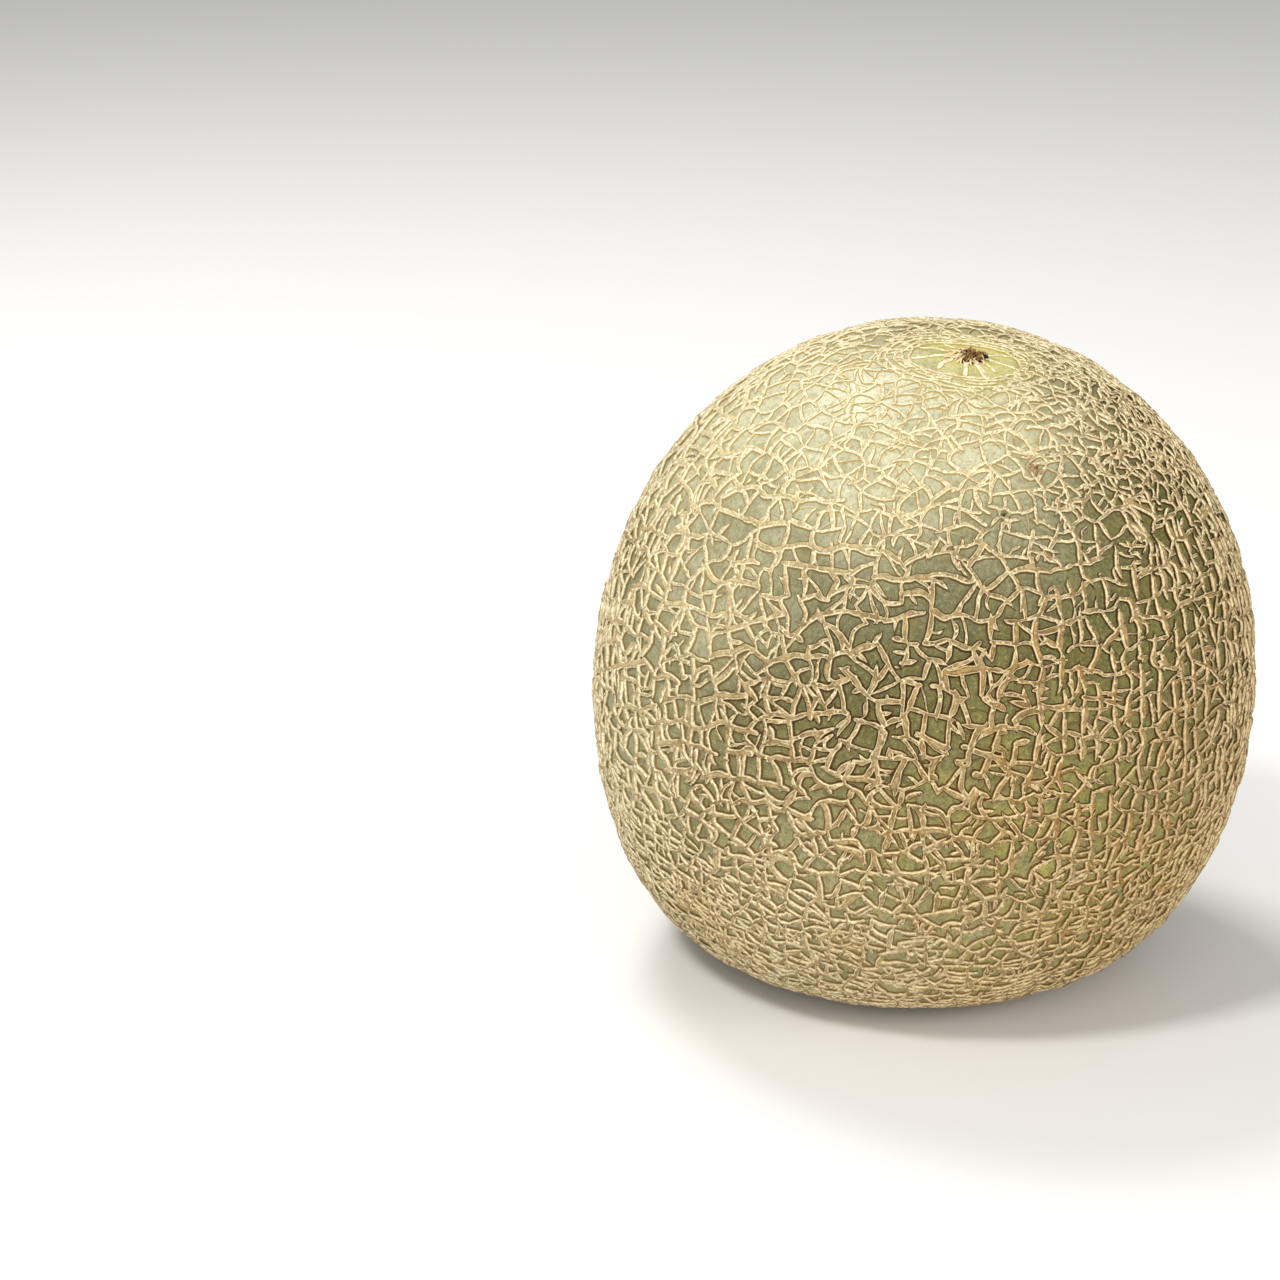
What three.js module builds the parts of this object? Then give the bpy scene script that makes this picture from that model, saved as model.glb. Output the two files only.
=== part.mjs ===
// A whole netted cantaloupe melon, resting on the flattened spot near its blossom end.
//
// Millimetres, +Z up. The origin is on the surface it rests on, at the middle of the
// fruit's outline seen from above. The fruit is one grown piece, so it is one solid.
//
// The skin is a closed mesh laid out on the cells of the net. Seeds are scattered over the
// sphere of directions, their convex hull gives the cell borders (a Voronoi diagram), and
// each border becomes a cork ridge that stands out from the floors of the cells beside it.

import * as THREE from 'three';
import { ConvexHull } from 'three/addons/math/ConvexHull.js';

// ---- Body, measured from the middle of the fruit to the floors of the net's cells ----

const HALF_WIDTH = 76.0; // across the stem axis
const STEM_REACH = 86.4; // along the axis to the stem end, before the basin is pressed in
const BLOSSOM_REACH = 94.0; // along the axis to the blossom end, before it was lain on
const STEM_FULLNESS = 2.12; // exponent of the outline above the middle; 2 is an ellipse
const BLOSSOM_FULLNESS = 1.78; // the same below the middle
const LEAN_RIGHT = 5.6; // degrees that the stem axis leans towards +X
const LEAN_FORWARD = 9.9; // degrees that it leans towards -Y

// Side of the fruit that it was lain on: a soft flat, with a small true flat in its middle
const REST_DEPTH = 65.2; // from the middle of the fruit down to the soft flat
const REST_SHARPNESS = 11.5; // larger turns the edge of the soft flat more sharply
const REST_PRESS = 0.25; // how far the true flat is pressed into the soft one
const REST_RADIUS = 16; // of the true flat, the only place that touches the table
const REST_RISE = 0.025; // slope at which the pressed net rises clear of the table round it
const REST_FADE_OUT = 32; // radius beyond which the net has its full height

// Slow swellings and flats: direction from the middle, height in mm, reach in radians
const SWELLINGS = [
  { toward: [-0.89, -0.14, -0.43], height: 1.4, reach: 0.25 },
  { toward: [0.82, -0.19, -0.54], height: 1.1, reach: 0.35 },
  { toward: [0.71, 0.23, 0.67], height: -0.8, reach: 0.4 },
  { toward: [-0.55, 0.83, 0.1], height: 1.0, reach: 0.4 },
  { toward: [0.4, 0.8, -0.45], height: -0.9, reach: 0.35 },
];

// ---- Stem end ----

const BASIN_RADIUS = 12.5; // smooth ring around the stem scar, where the net stops
const BASIN_DEPTH = 1.6; // how far the basin is pressed in
const BASIN_SPREAD = 13; // how widely the press fades out
const SPOKES = 11; // low radial ribs that cross the basin
const SPOKE_HEIGHT = 0.45;
const SCAR_RADIUS = 4.2; // torn stub of the stem
const SCAR_HEIGHT = 2.2;

// ---- Blossom end ----

const BLOSSOM_RADIUS = 5; // small corky disc, slightly sunken
const BLOSSOM_SINK = 0.8;

// ---- Net ----

const NET_HEIGHT = 1.4; // crest of a ridge above the floor of its cells
const NET_HEIGHT_SPREAD = 0.25; // share by which single crests are higher or lower
const RIDGE_HALF_WIDTH = 1.3; // from the crest to the foot
const CELL_LENGTH = 10.6; // along the fruit, from stem end to blossom end
const CELL_WIDTH = 11.0; // round the fruit
const CELL_JITTER = 0.3; // share of its own size by which a cell wanders
const SHORT_BORDER = 1.8; // two crest corners closer than this are made one
const SEED = 20417;

const CORK_GREEN = new THREE.Color(0.66, 0.62, 0.44);

// ---- Directions ----

function unit(x, y, z) {
  return new THREE.Vector3(x, y, z).normalize();
}

const TO_STEM = unit(
  Math.tan(THREE.MathUtils.degToRad(LEAN_RIGHT)),
  -Math.tan(THREE.MathUtils.degToRad(LEAN_FORWARD)),
  1,
);
const TO_SIDE = unit(0, 1, 0).cross(TO_STEM).normalize();
const TO_BACK = TO_STEM.clone().cross(TO_SIDE);

// Direction at a polar angle from the stem and an angle round the stem axis.
function fromStem(polar, around) {
  return TO_STEM.clone()
    .multiplyScalar(Math.cos(polar))
    .addScaledVector(TO_SIDE, Math.sin(polar) * Math.cos(around))
    .addScaledVector(TO_BACK, Math.sin(polar) * Math.sin(around));
}

function seededRandom(seed) {
  let state = seed;
  return () => {
    state = (state + 0x6d2b79f5) | 0;
    let mixed = Math.imul(state ^ (state >>> 15), 1 | state);
    mixed = (mixed + Math.imul(mixed ^ (mixed >>> 7), 61 | mixed)) ^ mixed;
    return ((mixed ^ (mixed >>> 14)) >>> 0) / 4294967296;
  };
}

// ---- Body shape ----

// Distance from the middle of the fruit to its skin in a direction: a superellipse turned
// round the stem axis, with the swellings, the stem basin and the soft resting flat.
function bodyRadius(direction) {
  const along = direction.dot(TO_STEM);
  const across = Math.sqrt(Math.max(0, 1 - along * along));
  const reach = along > 0 ? STEM_REACH : BLOSSOM_REACH;
  const fullness = along > 0 ? STEM_FULLNESS : BLOSSOM_FULLNESS;
  const outline = (across / HALF_WIDTH) ** fullness + (Math.abs(along) / reach) ** fullness;
  let radius = outline ** (-1 / fullness);
  for (const { toward, height, reach: spread } of SWELLINGS) {
    const angle = direction.angleTo(unit(...toward));
    radius += height * Math.exp(-((angle / spread) ** 2));
  }
  const fromScar = radius * across;
  if (along > 0) radius -= BASIN_DEPTH * Math.exp(-((fromScar / BASIN_SPREAD) ** 2));
  const down = Math.max(-direction.z, 1e-3);
  const flat = (REST_DEPTH / down) ** -REST_SHARPNESS;
  return (radius ** -REST_SHARPNESS + flat) ** (-1 / REST_SHARPNESS);
}

// A point on the skin, raised along its direction. The true flat is at z = 0, and what lies
// round it is pressed to a very low cone, so that nothing else reaches the table.
function skinPoint(direction, raise) {
  const point = direction.clone().multiplyScalar(bodyRadius(direction) + raise);
  const clearance = (Math.hypot(point.x, point.y) - REST_RADIUS) * REST_RISE;
  point.z = Math.max(0, clearance, point.z + REST_DEPTH - REST_PRESS);
  return point;
}

// ---- Cells of the net ----

// Adds a ring of seeds at a distance over the skin from a pole of the fruit.
function addRing(seeds, kind, polar, count, turn, wander, random) {
  const radius = HALF_WIDTH * Math.sin(polar);
  const stepAround = (2 * Math.PI) / count;
  for (let i = 0; i < count; i += 1) {
    const jitterAlong = (random() - 0.5) * wander.along;
    const jitterAround = (random() - 0.5) * wander.around;
    const around = turn + i * stepAround + jitterAround / radius;
    seeds.push({ kind, direction: fromStem(polar + jitterAlong / HALF_WIDTH, around) });
  }
}

function scatterSeeds(random) {
  const seeds = [{ kind: 'scar', direction: TO_STEM.clone() }];
  const stemArc = (distance) => distance / STEM_REACH;
  const fixed = { along: 0.6, around: 0.6 };
  addRing(seeds, 'scar', stemArc(SCAR_RADIUS * 0.72), 6, 0.3, fixed, random);
  const basinMiddle = (SCAR_RADIUS + BASIN_RADIUS) / 2 + 0.9;
  addRing(seeds, 'basin', stemArc(basinMiddle), SPOKES, 0.1, { along: 0.5, around: 1.6 }, random);

  // Rings of cells. They are short near the stem and near the blossom end, where the net
  // runs round the fruit, and as long as wide in between.
  const lastPolar = Math.PI - (BLOSSOM_RADIUS * 2.2) / BLOSSOM_REACH;
  let polar = stemArc(BASIN_RADIUS * 2 - basinMiddle);
  while (polar < lastPolar) {
    const nearStem = Math.exp(-((polar / 0.42) ** 2));
    const nearBlossom = Math.exp(-(((Math.PI - polar) / 0.75) ** 2));
    const length = CELL_LENGTH * (1 - 0.5 * nearStem - 0.3 * nearBlossom);
    const width = CELL_WIDTH * (1 - 0.22 * nearStem + 0.05 * nearBlossom);
    const count = Math.round((2 * Math.PI * HALF_WIDTH * Math.sin(polar)) / width);
    const wander = { along: length * CELL_JITTER * 2, around: width * CELL_JITTER * 2 };
    addRing(seeds, 'net', polar, count, random() * 2 * Math.PI, wander, random);
    polar += length / HALF_WIDTH;
  }
  addRing(seeds, 'net', lastPolar, 6, 0.5, fixed, random);
  seeds.push({ kind: 'blossom', direction: TO_STEM.clone().negate() });
  return seeds;
}

// Finds each cell's corners. A corner is the normal of a face of the seeds' hull, and every
// hull face that holds a seed is a corner of that seed's cell. Corners that nearly meet are
// given one number.
function findCells(seeds) {
  const seedOf = new Map(seeds.map((seed, index) => [seed.direction, index]));
  const faces = new ConvexHull().setFromPoints(seeds.map((seed) => seed.direction)).faces;
  const faceNumber = new Map(faces.map((face, index) => [face, index]));
  const group = faces.map((_, index) => index);
  const find = (index) => {
    let top = index;
    while (group[top] !== top) top = group[top];
    return top;
  };
  const corners = faces.map((face) => ({ direction: face.normal.clone().normalize(), cells: [] }));
  faces.forEach((face, number) => {
    let edge = face.edge;
    do {
      corners[number].cells.push(seedOf.get(edge.head().point));
      const other = faceNumber.get(edge.twin.face);
      const gap = corners[number].direction.distanceTo(corners[other].direction) * HALF_WIDTH;
      if (gap < SHORT_BORDER) group[find(other)] = find(number);
      edge = edge.next;
    } while (edge !== face.edge);
  });

  const merged = new Map();
  corners.forEach((corner, number) => {
    const top = find(number);
    if (!merged.has(top)) merged.set(top, { direction: new THREE.Vector3(), cells: new Set() });
    merged.get(top).direction.add(corner.direction);
    corner.cells.forEach((cell) => merged.get(top).cells.add(cell));
  });

  const ring = seeds.map(() => []);
  for (const corner of merged.values()) {
    corner.direction.normalize();
    corner.cells.forEach((cell) => ring[cell].push(corner));
  }
  return seeds.map((seed, index) => ({ ...seed, corners: sortAround(seed.direction, ring[index]) }));
}

// Corners in order round a seed, anticlockwise seen from outside.
function sortAround(middle, corners) {
  const first = new THREE.Vector3(0, 0, 1).cross(middle).normalize();
  const second = middle.clone().cross(first);
  const angle = (corner) =>
    Math.atan2(corner.direction.dot(second), corner.direction.dot(first));
  return [...corners].sort((a, b) => angle(a) - angle(b));
}

// ---- Skin ----

// Share of the net's full height that is left near the spot that the fruit was lain on.
function pressedShare(direction) {
  if (direction.z > 0) return 1;
  const radius = (REST_DEPTH * Math.hypot(direction.x, direction.y)) / -direction.z;
  return THREE.MathUtils.smoothstep(radius, REST_RADIUS / 2, REST_FADE_OUT);
}

// Height of the crest at a corner, from the kinds of cells that meet there.
function crestHeight(corner, kinds, random) {
  const roll = 1 + (random() * 2 - 1) * NET_HEIGHT_SPREAD;
  if (kinds.has('scar')) return SCAR_HEIGHT * (kinds.size > 1 ? 0.45 : 1) * roll;
  if (kinds.has('blossom')) return 0;
  if (kinds.size === 1 && kinds.has('basin')) return SPOKE_HEIGHT * roll;
  const basinSide = kinds.has('basin') ? 0.7 : 1;
  return NET_HEIGHT * basinSide * roll * pressedShare(corner.direction);
}

function floorHeight(kind) {
  if (kind === 'scar') return SCAR_HEIGHT * 0.55;
  if (kind === 'blossom') return -BLOSSOM_SINK;
  return 0;
}

// One ring of slopes from the crests down to the cell's foot, and a floor across the foot.
function skinGeometry(cells, random) {
  const positions = [];
  const triangles = [];
  const numberOf = new Map();
  const addPoint = (point) => positions.push(point.x, point.y, point.z) / 3 - 1;

  for (const cell of cells) {
    for (const corner of cell.corners) {
      if (numberOf.has(corner)) continue;
      const kinds = new Set([...corner.cells].map((index) => cells[index].kind));
      const raise = crestHeight(corner, kinds, random);
      numberOf.set(corner, addPoint(skinPoint(corner.direction, raise)));
    }
  }

  for (const cell of cells) {
    const middle = new THREE.Vector3();
    cell.corners.forEach((corner) => middle.add(corner.direction));
    middle.normalize();
    const spans = cell.corners.map((corner) => corner.direction.distanceTo(middle));
    const span = (spans.reduce((sum, value) => sum + value, 0) / spans.length) * HALF_WIDTH;
    const inset = THREE.MathUtils.clamp(RIDGE_HALF_WIDTH / (span * 0.84), 0.1, 0.42);
    const crest = cell.corners.map((corner) => numberOf.get(corner));
    const foot = cell.corners.map((corner) => {
      const direction = corner.direction.clone().lerp(middle, inset).normalize();
      return addPoint(skinPoint(direction, floorHeight(cell.kind)));
    });
    const count = crest.length;
    for (let i = 0; i < count; i += 1) {
      const next = (i + 1) % count;
      triangles.push(crest[i], crest[next], foot[next]);
      triangles.push(crest[i], foot[next], foot[i]);
      if (i > 0 && next > 0) triangles.push(foot[0], foot[i], foot[next]);
    }
  }

  const geometry = new THREE.BufferGeometry();
  geometry.setAttribute('position', new THREE.Float32BufferAttribute(positions, 3));
  geometry.setIndex(triangles);
  geometry.computeVertexNormals();
  return geometry;
}

// ---- The fruit ----

const random = seededRandom(SEED);
const cells = findCells(scatterSeeds(random));
const rind = new THREE.MeshStandardMaterial({ color: CORK_GREEN, roughness: 0.7, metalness: 0 });
const melon = new THREE.Mesh(skinGeometry(cells, random), rind);
melon.name = 'melon';

const fruit = new THREE.Group();
fruit.add(melon);

export default fruit;
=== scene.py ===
import bmesh
import bpy
import numpy as np
from mathutils import Matrix


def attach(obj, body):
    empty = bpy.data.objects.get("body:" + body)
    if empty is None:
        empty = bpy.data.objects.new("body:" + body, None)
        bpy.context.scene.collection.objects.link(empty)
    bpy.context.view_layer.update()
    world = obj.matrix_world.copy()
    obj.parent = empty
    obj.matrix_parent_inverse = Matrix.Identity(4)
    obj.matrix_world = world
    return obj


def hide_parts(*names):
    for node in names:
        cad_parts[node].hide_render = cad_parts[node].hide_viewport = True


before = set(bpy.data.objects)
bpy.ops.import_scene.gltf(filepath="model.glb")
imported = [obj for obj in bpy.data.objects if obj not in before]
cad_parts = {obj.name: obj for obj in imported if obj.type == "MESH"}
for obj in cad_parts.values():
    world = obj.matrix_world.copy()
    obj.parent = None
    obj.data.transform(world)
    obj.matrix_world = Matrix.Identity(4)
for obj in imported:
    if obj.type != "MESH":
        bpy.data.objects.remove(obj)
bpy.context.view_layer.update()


# ---- The fruit's own shape ----------------------------------------------------------------
# A netted cantaloupe, 154 mm across, grown as one piece. Its stem axis leans a little to the
# right and forward, and it stands on the soft flat that formed where it lay on the ground.

MM = 0.001  # sizes are in mm unless a comment says otherwise, and pieces are made in metres
HALF_WIDTH = 76.0  # across the stem axis
STEM_REACH = 86.4  # along it to the stem end, before the basin is pressed in
BLOSSOM_REACH = 94.0  # along it to the blossom end, before the fruit was lain on
STEM_FULLNESS = 2.12  # exponent of the outline towards the stem end; 2 is an ellipse
BLOSSOM_FULLNESS = 1.78
LEAN_RIGHT = 5.6  # degrees
LEAN_FORWARD = 9.9
REST_DEPTH = 65.2  # from the fruit's middle down to the soft flat
REST_PRESS = 0.25  # by which the middle of that flat is pressed in
REST_SHARPNESS = 11.5  # larger turns the edge of the flat more sharply
REST_RADIUS = 16.0  # of the part that touches the table
REST_RISE = 0.025  # slope at which the net rises clear of the table round it
REST_FADE_OUT = 32.0  # radius beyond which the net has its full height
BASIN_DEPTH = 1.6
BASIN_SPREAD = 13.0
BASIN_MIDDLE = (-1.6, -2.4)  # of the bare basin, to the right and back of the scar
BASIN_HALF = (12.4, 8.9)  # half of its width, and half of its reach from front to back
SKIN_DROP = 0.3  # by which the skin lies under the fruit's mean outline
RIPPLE_HEIGHT = 0.16
RIPPLE_LENGTH = 17.0
RIPPLE_SEED = 5
SWELLINGS = (  # direction from the middle, height, reach in radians
    ((-0.89, -0.14, -0.43), 1.4, 0.25),
    ((0.82, -0.19, -0.54), 1.1, 0.35),
    ((0.71, 0.23, 0.67), -0.8, 0.4),
    ((-0.55, 0.83, 0.1), 1.0, 0.4),
    ((0.4, 0.8, -0.45), -0.9, 0.35),
)
MIDDLE = np.array([0.0, 0.0, REST_DEPTH - REST_PRESS])  # of the fruit


def unit(vectors):
    """Each vector divided by its own length."""
    vectors = np.asarray(vectors, float)
    return vectors / np.linalg.norm(vectors, axis=-1, keepdims=True)


STEM = unit([np.tan(np.radians(LEAN_RIGHT)), -np.tan(np.radians(LEAN_FORWARD)), 1.0])
SIDE = unit(np.cross([0.0, 1.0, 0.0], STEM))
BACK = np.cross(STEM, SIDE)


def by_stem(right, back):
    """Directions of points given in mm to the right and back of the stem scar."""
    right, back = np.asarray(right, float)[..., None], np.asarray(back, float)[..., None]
    return unit(STEM * STEM_REACH + SIDE * right + BACK * back)


def basin_share(direction):
    """How far out from the basin's middle a direction lies: 1 on the basin's edge."""
    reach = STEM_REACH / np.maximum(direction @ STEM, 0.05)
    right = (direction @ SIDE * reach - BASIN_MIDDLE[0]) / BASIN_HALF[0]
    back = (direction @ BACK * reach - BASIN_MIDDLE[1]) / BASIN_HALF[1]
    return np.hypot(right, back)


def closeness(direction, toward, spread):
    """1 at a direction, falling off as a bell curve of the angle from it."""
    angle = np.arccos(np.clip(direction @ unit(toward), -1, 1))
    return np.exp(-((angle / spread) ** 2))


def waves(points, length, seed, channels=3):
    """Smooth noise: for each channel, a sum of seven sine waves about one length long that run
    in seeded directions. It stays between about -1 and 1."""
    draws = np.random.default_rng(seed)
    total = np.zeros(points.shape[:-1] + (channels,), np.float32)
    points = points.astype(np.float32)
    for _ in range(7):
        heading = unit(draws.normal(size=(3, channels))) * 2 * np.pi
        heading = heading / (length * draws.uniform(0.7, 1.6))
        phase = draws.uniform(0, 2 * np.pi, channels)
        total += np.sin(points @ heading.astype(np.float32) + phase.astype(np.float32))
    return total / 2.6


def body_radius(direction):
    """Distance from the middle to the skin: a superellipse turned round the stem axis, with
    slow swellings, the stem basin pressed in, slight waves, and the soft resting flat."""
    along = direction @ STEM
    across = np.sqrt(np.maximum(0, 1 - along**2))
    reach = np.where(along > 0, STEM_REACH, BLOSSOM_REACH)
    fullness = np.where(along > 0, STEM_FULLNESS, BLOSSOM_FULLNESS)
    outline = (across / HALF_WIDTH) ** fullness + (np.abs(along) / reach) ** fullness
    radius = outline ** (-1 / fullness)
    for toward, height, spread in SWELLINGS:
        radius += height * closeness(direction, toward, spread)
    basin = np.exp(-((radius * across / BASIN_SPREAD) ** 2))
    radius -= np.where(along > 0, BASIN_DEPTH * basin, 0)
    ripple = waves(direction * HALF_WIDTH, RIPPLE_LENGTH, RIPPLE_SEED, 1)[..., 0]
    radius += RIPPLE_HEIGHT * ripple - SKIN_DROP
    down = np.maximum(-direction[..., 2], 1e-3)
    flat = (REST_DEPTH / down) ** -REST_SHARPNESS
    return (radius**-REST_SHARPNESS + flat) ** (-1 / REST_SHARPNESS)


def place(direction, height):
    """Points in metres, at a height in mm over the skin. Nothing reaches below the table."""
    points = direction * (body_radius(direction) + height)[..., None] + MIDDLE
    clearance = (np.hypot(points[..., 0], points[..., 1]) - REST_RADIUS) * REST_RISE
    points[..., 2] = np.maximum(points[..., 2], np.maximum(0, clearance))
    return points * MM


# The skin is laid out in six square sectors: one round the stem, one round the blossom end and
# four between them. Each is a middle direction with its right and its up.
SECTORS = {
    "stem_end": (STEM, SIDE, BACK),
    "blossom_end": (-STEM, BACK, SIDE),
    "front": (-BACK, SIDE, STEM),
    "right": (SIDE, BACK, STEM),
    "back": (BACK, STEM, SIDE),
    "left": (-SIDE, STEM, BACK),
}


def sector_directions(sector, steps, reach):
    """Grid of directions: the sector's middle, turned in even angles to its right and up."""
    middle, right, up = sector
    turn = np.tan(np.linspace(-reach, reach, steps + 1))
    return unit(middle + turn[:, None, None] * right + turn[None, :, None] * up)


def grid_quads(steps):
    """Corner numbers of a square grid's quads, anticlockwise from outside."""
    first = np.arange(steps)[:, None] * (steps + 1) + np.arange(steps)
    return np.stack([first, first + steps + 1, first + steps + 2, first + 1], -1).reshape(-1, 4)


def new_piece(name, points, quads, triangles=None):
    """A mesh object at the origin from points in metres and their quads and triangles."""
    mesh = bpy.data.meshes.new(name)
    triangles = np.zeros((0, 3), int) if triangles is None else triangles
    corners = np.concatenate([quads.ravel(), triangles.ravel()]).astype(np.int32)
    sizes = np.concatenate([np.full(len(quads), 4), np.full(len(triangles), 3)]).astype(np.int32)
    mesh.vertices.add(len(points))
    mesh.vertices.foreach_set("co", points.astype(np.float32).ravel())
    mesh.loops.add(len(corners))
    mesh.loops.foreach_set("vertex_index", corners)
    mesh.polygons.add(len(sizes))
    starts = np.concatenate([[0], np.cumsum(sizes)[:-1]]).astype(np.int32)
    mesh.polygons.foreach_set("loop_start", starts)
    mesh.polygons.foreach_set("loop_total", sizes)
    mesh.update(calc_edges=True)
    mesh.validate()
    piece = bpy.data.objects.new(name, mesh)
    bpy.context.collection.objects.link(piece)
    return piece


# ---- Camera, table and light --------------------------------------------------------------
# A long lens a little above the fruit, a plain white table and soft daylight from the upper
# left. None of it is part of the fruit.

CAMERA_TILT = np.radians(19.0)
LENS = 100.0
SENSOR = 36.0
SIGHT_RIGHT = 65.5  # by which the fruit's middle stands right of the line of sight
SIGHT_DOWN = 10.9
SIGHT_DISTANCE = 831.4
TABLE_HALF = 3.0  # metres
TABLE_DROP = 0.0002  # metres by which the table lies under the fruit
TABLE_WHITE = 0.9
ROOM_LIGHT = 0.36

look_along = np.array([0, np.cos(CAMERA_TILT), -np.sin(CAMERA_TILT)])
look_up = np.array([0, np.sin(CAMERA_TILT), np.cos(CAMERA_TILT)])
look_right = np.array([1.0, 0, 0])
camera_at = MIDDLE - SIGHT_RIGHT * look_right + SIGHT_DOWN * look_up - SIGHT_DISTANCE * look_along
camera_data = bpy.data.cameras.new("camera")
camera_data.lens = LENS
camera_data.sensor_width = SENSOR
camera_data.sensor_fit = "HORIZONTAL"
camera_data.clip_start = 0.01
camera = bpy.data.objects.new("camera", camera_data)
camera.location = camera_at * MM
camera.rotation_euler = (np.pi / 2 - CAMERA_TILT, 0, 0)
bpy.context.collection.objects.link(camera)
bpy.context.scene.camera = camera
bpy.context.scene.view_settings.view_transform = "Standard"

table_corners = np.array([[-1, -1, 0], [1, -1, 0], [1, 1, 0], [-1, 1, 0]]) * TABLE_HALF
table = new_piece("table", table_corners - [0, 0, TABLE_DROP], np.array([[0, 1, 2, 3]]))
table_finish = bpy.data.materials.new("table")
table_finish.use_nodes = True
table_shader = table_finish.node_tree.nodes["Principled BSDF"]
table_shader.inputs["Base Color"].default_value = (*[TABLE_WHITE] * 3, 1)
table_shader.inputs["Roughness"].default_value = 0.9
table.data.materials.append(table_finish)

world = bpy.data.worlds.new("room")
world.use_nodes = True
room = world.node_tree.nodes["Background"]
room.inputs["Color"].default_value = (1.0, 1.0, 1.0, 1)
room.inputs["Strength"].default_value = ROOM_LIGHT
bpy.context.scene.world = world


def soft_light(name, position, size, power, tint):
    """A square lamp that faces the fruit: its place and size in metres, its power in watts."""
    data = bpy.data.lights.new(name, "AREA")
    data.size = size
    data.energy = power
    data.color = tint
    lamp = bpy.data.objects.new(name, data)
    lamp.location = position
    aim = unit(MIDDLE * MM - np.array(position))
    across = unit(np.cross(aim, [0, 0, 1]))
    over = np.cross(across, aim)
    turn = np.eye(4)
    turn[:3, :3] = np.stack([across, over, -aim], 1)
    turn[:3, 3] = position
    lamp.matrix_world = Matrix(turn.tolist())
    bpy.context.collection.objects.link(lamp)


soft_light("window", (-0.62, -0.6, 1.2), 0.22, 8.6, (1.0, 0.985, 0.94))
soft_light("skylight", (-0.32, 0.52, 1.12), 0.4, 8.0, (1.0, 0.985, 0.95))
soft_light("low_fill", (0.15, -1.4, 0.12), 0.8, 8.0, (1.0, 0.975, 0.93))
soft_light("front_fill", (-0.1, -1.3, 0.8), 1.0, 4.0, (1.0, 0.985, 0.94))
soft_light("side_fill", (1.2, -0.6, 0.6), 0.6, 5.5, (1.0, 0.975, 0.93))


# ---- The net's strokes --------------------------------------------------------------------
# As the skin stops growing before the flesh does, it cracks, and each crack heals into a cord
# of cork. Long cracks run first, shorter ones join them, and the last ones stop in the open.

SEED = 20417
CELL_LENGTH = 5.1  # first cells of the net, from stem end to blossom end
CELL_WIDTH = 5.0
CROWDED = (  # where the net is closer: direction, spread in radians, extra cells
    ((0.55, -0.2, 0.8), 0.26, 110),
    ((0.4, 0.3, 0.87), 0.3, 120),
    ((0.6, -0.66, -0.45), 0.4, 190),
    ((-0.38, -0.9, 0.18), 0.26, 35),
    ((-0.2, -0.85, -0.35), 0.35, 80),
    ((-0.62, -0.57, -0.54), 0.06, 26),
    ((-0.26, -0.81, -0.52), 0.05, 22),
    ((-0.2, 0.9, 0.1), 0.4, 120),
    ((0.3, 0.8, -0.5), 0.3, 70),
)
SETTLING = 4  # times that each cell's seed is moved towards the cell's middle
SAMPLE_STEP = 0.33  # between the discs that a cord is made of
CORNER_WAVES = ((0.55, 9.0, 11), (0.2, 3.4, 12), (0.05, 1.6, 13))  # height, length and seed
SMOOTH_SIDE = (-0.26, -0.42, 0.87)  # where the cords are thin and low
SLENDER_SIDE = (0.65, -0.7, 0.2)  # where they are a little thinner
OPEN_SIDE = (0.35, -0.9, 0.0)  # where most cords stop in the open
OPEN_SPREAD = 0.9
CROSSED = (  # share of the cells that a cord crosses, its turn round the cell, its thickness
    (0.55, 0, 0.74),
    (0.26, 1, 0.6),
    (0.12, 2, 0.5),
)
HEALED_HOLE = (0.141, -0.69, 0.71)  # a prick in the skin, ringed by five short cords
HOLE_ROOM = 1.6  # radius round it that other cords keep out of
HOLE_RADIUS = 1.3
HOLE_CORDS = (0.3, 1.3, 2.5, 3.6, 4.9)  # angles at which the five run out
HOLE_CORD_END = 4.2


def from_stem(polar, around):
    """Directions at a polar angle from the stem end and an angle round the stem axis."""
    polar, around = np.asarray(polar)[..., None], np.asarray(around)[..., None]
    return STEM * np.cos(polar) + np.sin(polar) * (SIDE * np.cos(around) + BACK * np.sin(around))


def dot(one, other):
    """Dot products of the rows of one table with the same rows of another."""
    return np.einsum("ij,ij->i", one, other)


def between(start, end, share):
    """Directions that lie a share of the way from start to end."""
    return unit(start * (1 - share) + end * share)


def hull_triangles(points):
    """Corner numbers of the triangles of the points' convex hull, facing outwards."""
    hull = bmesh.new()
    for point in points:
        hull.verts.new(point)
    hull.verts.index_update()
    bmesh.ops.convex_hull(hull, input=hull.verts[:], use_existing_faces=False)
    triangles = np.array([[corner.index for corner in face.verts] for face in hull.faces])
    hull.free()
    a, b, c = (points[triangles[:, k]] for k in range(3))
    inward = dot(np.cross(b - a, c - a), a) < 0
    triangles[inward] = triangles[inward][:, ::-1]
    return triangles


def cell_borders(seeds):
    """Corners of the cells, and for each border its two corners and its two cells. A corner is
    the normal of a hull triangle, and a border joins the corners of triangles side by side."""
    triangles = hull_triangles(seeds)
    a, b, c = (seeds[triangles[:, k]] for k in range(3))
    corners = unit(np.cross(b - a, c - a))
    sides = [triangles[:, [0, 1]], triangles[:, [1, 2]], triangles[:, [2, 0]]]
    sides = np.sort(np.concatenate(sides), 1)
    owner = np.tile(np.arange(len(triangles)), 3)
    order = np.lexsort((sides[:, 1], sides[:, 0]))
    return corners, owner[order].reshape(-1, 2), sides[order][::2]


def end_nearness(polar):
    """How near a polar angle lies to the stem end and to the blossom end, from 0 to 1."""
    return np.exp(-((polar / 0.5) ** 2)), np.clip((polar - 1.7) / 0.3, 0, 1)


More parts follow.
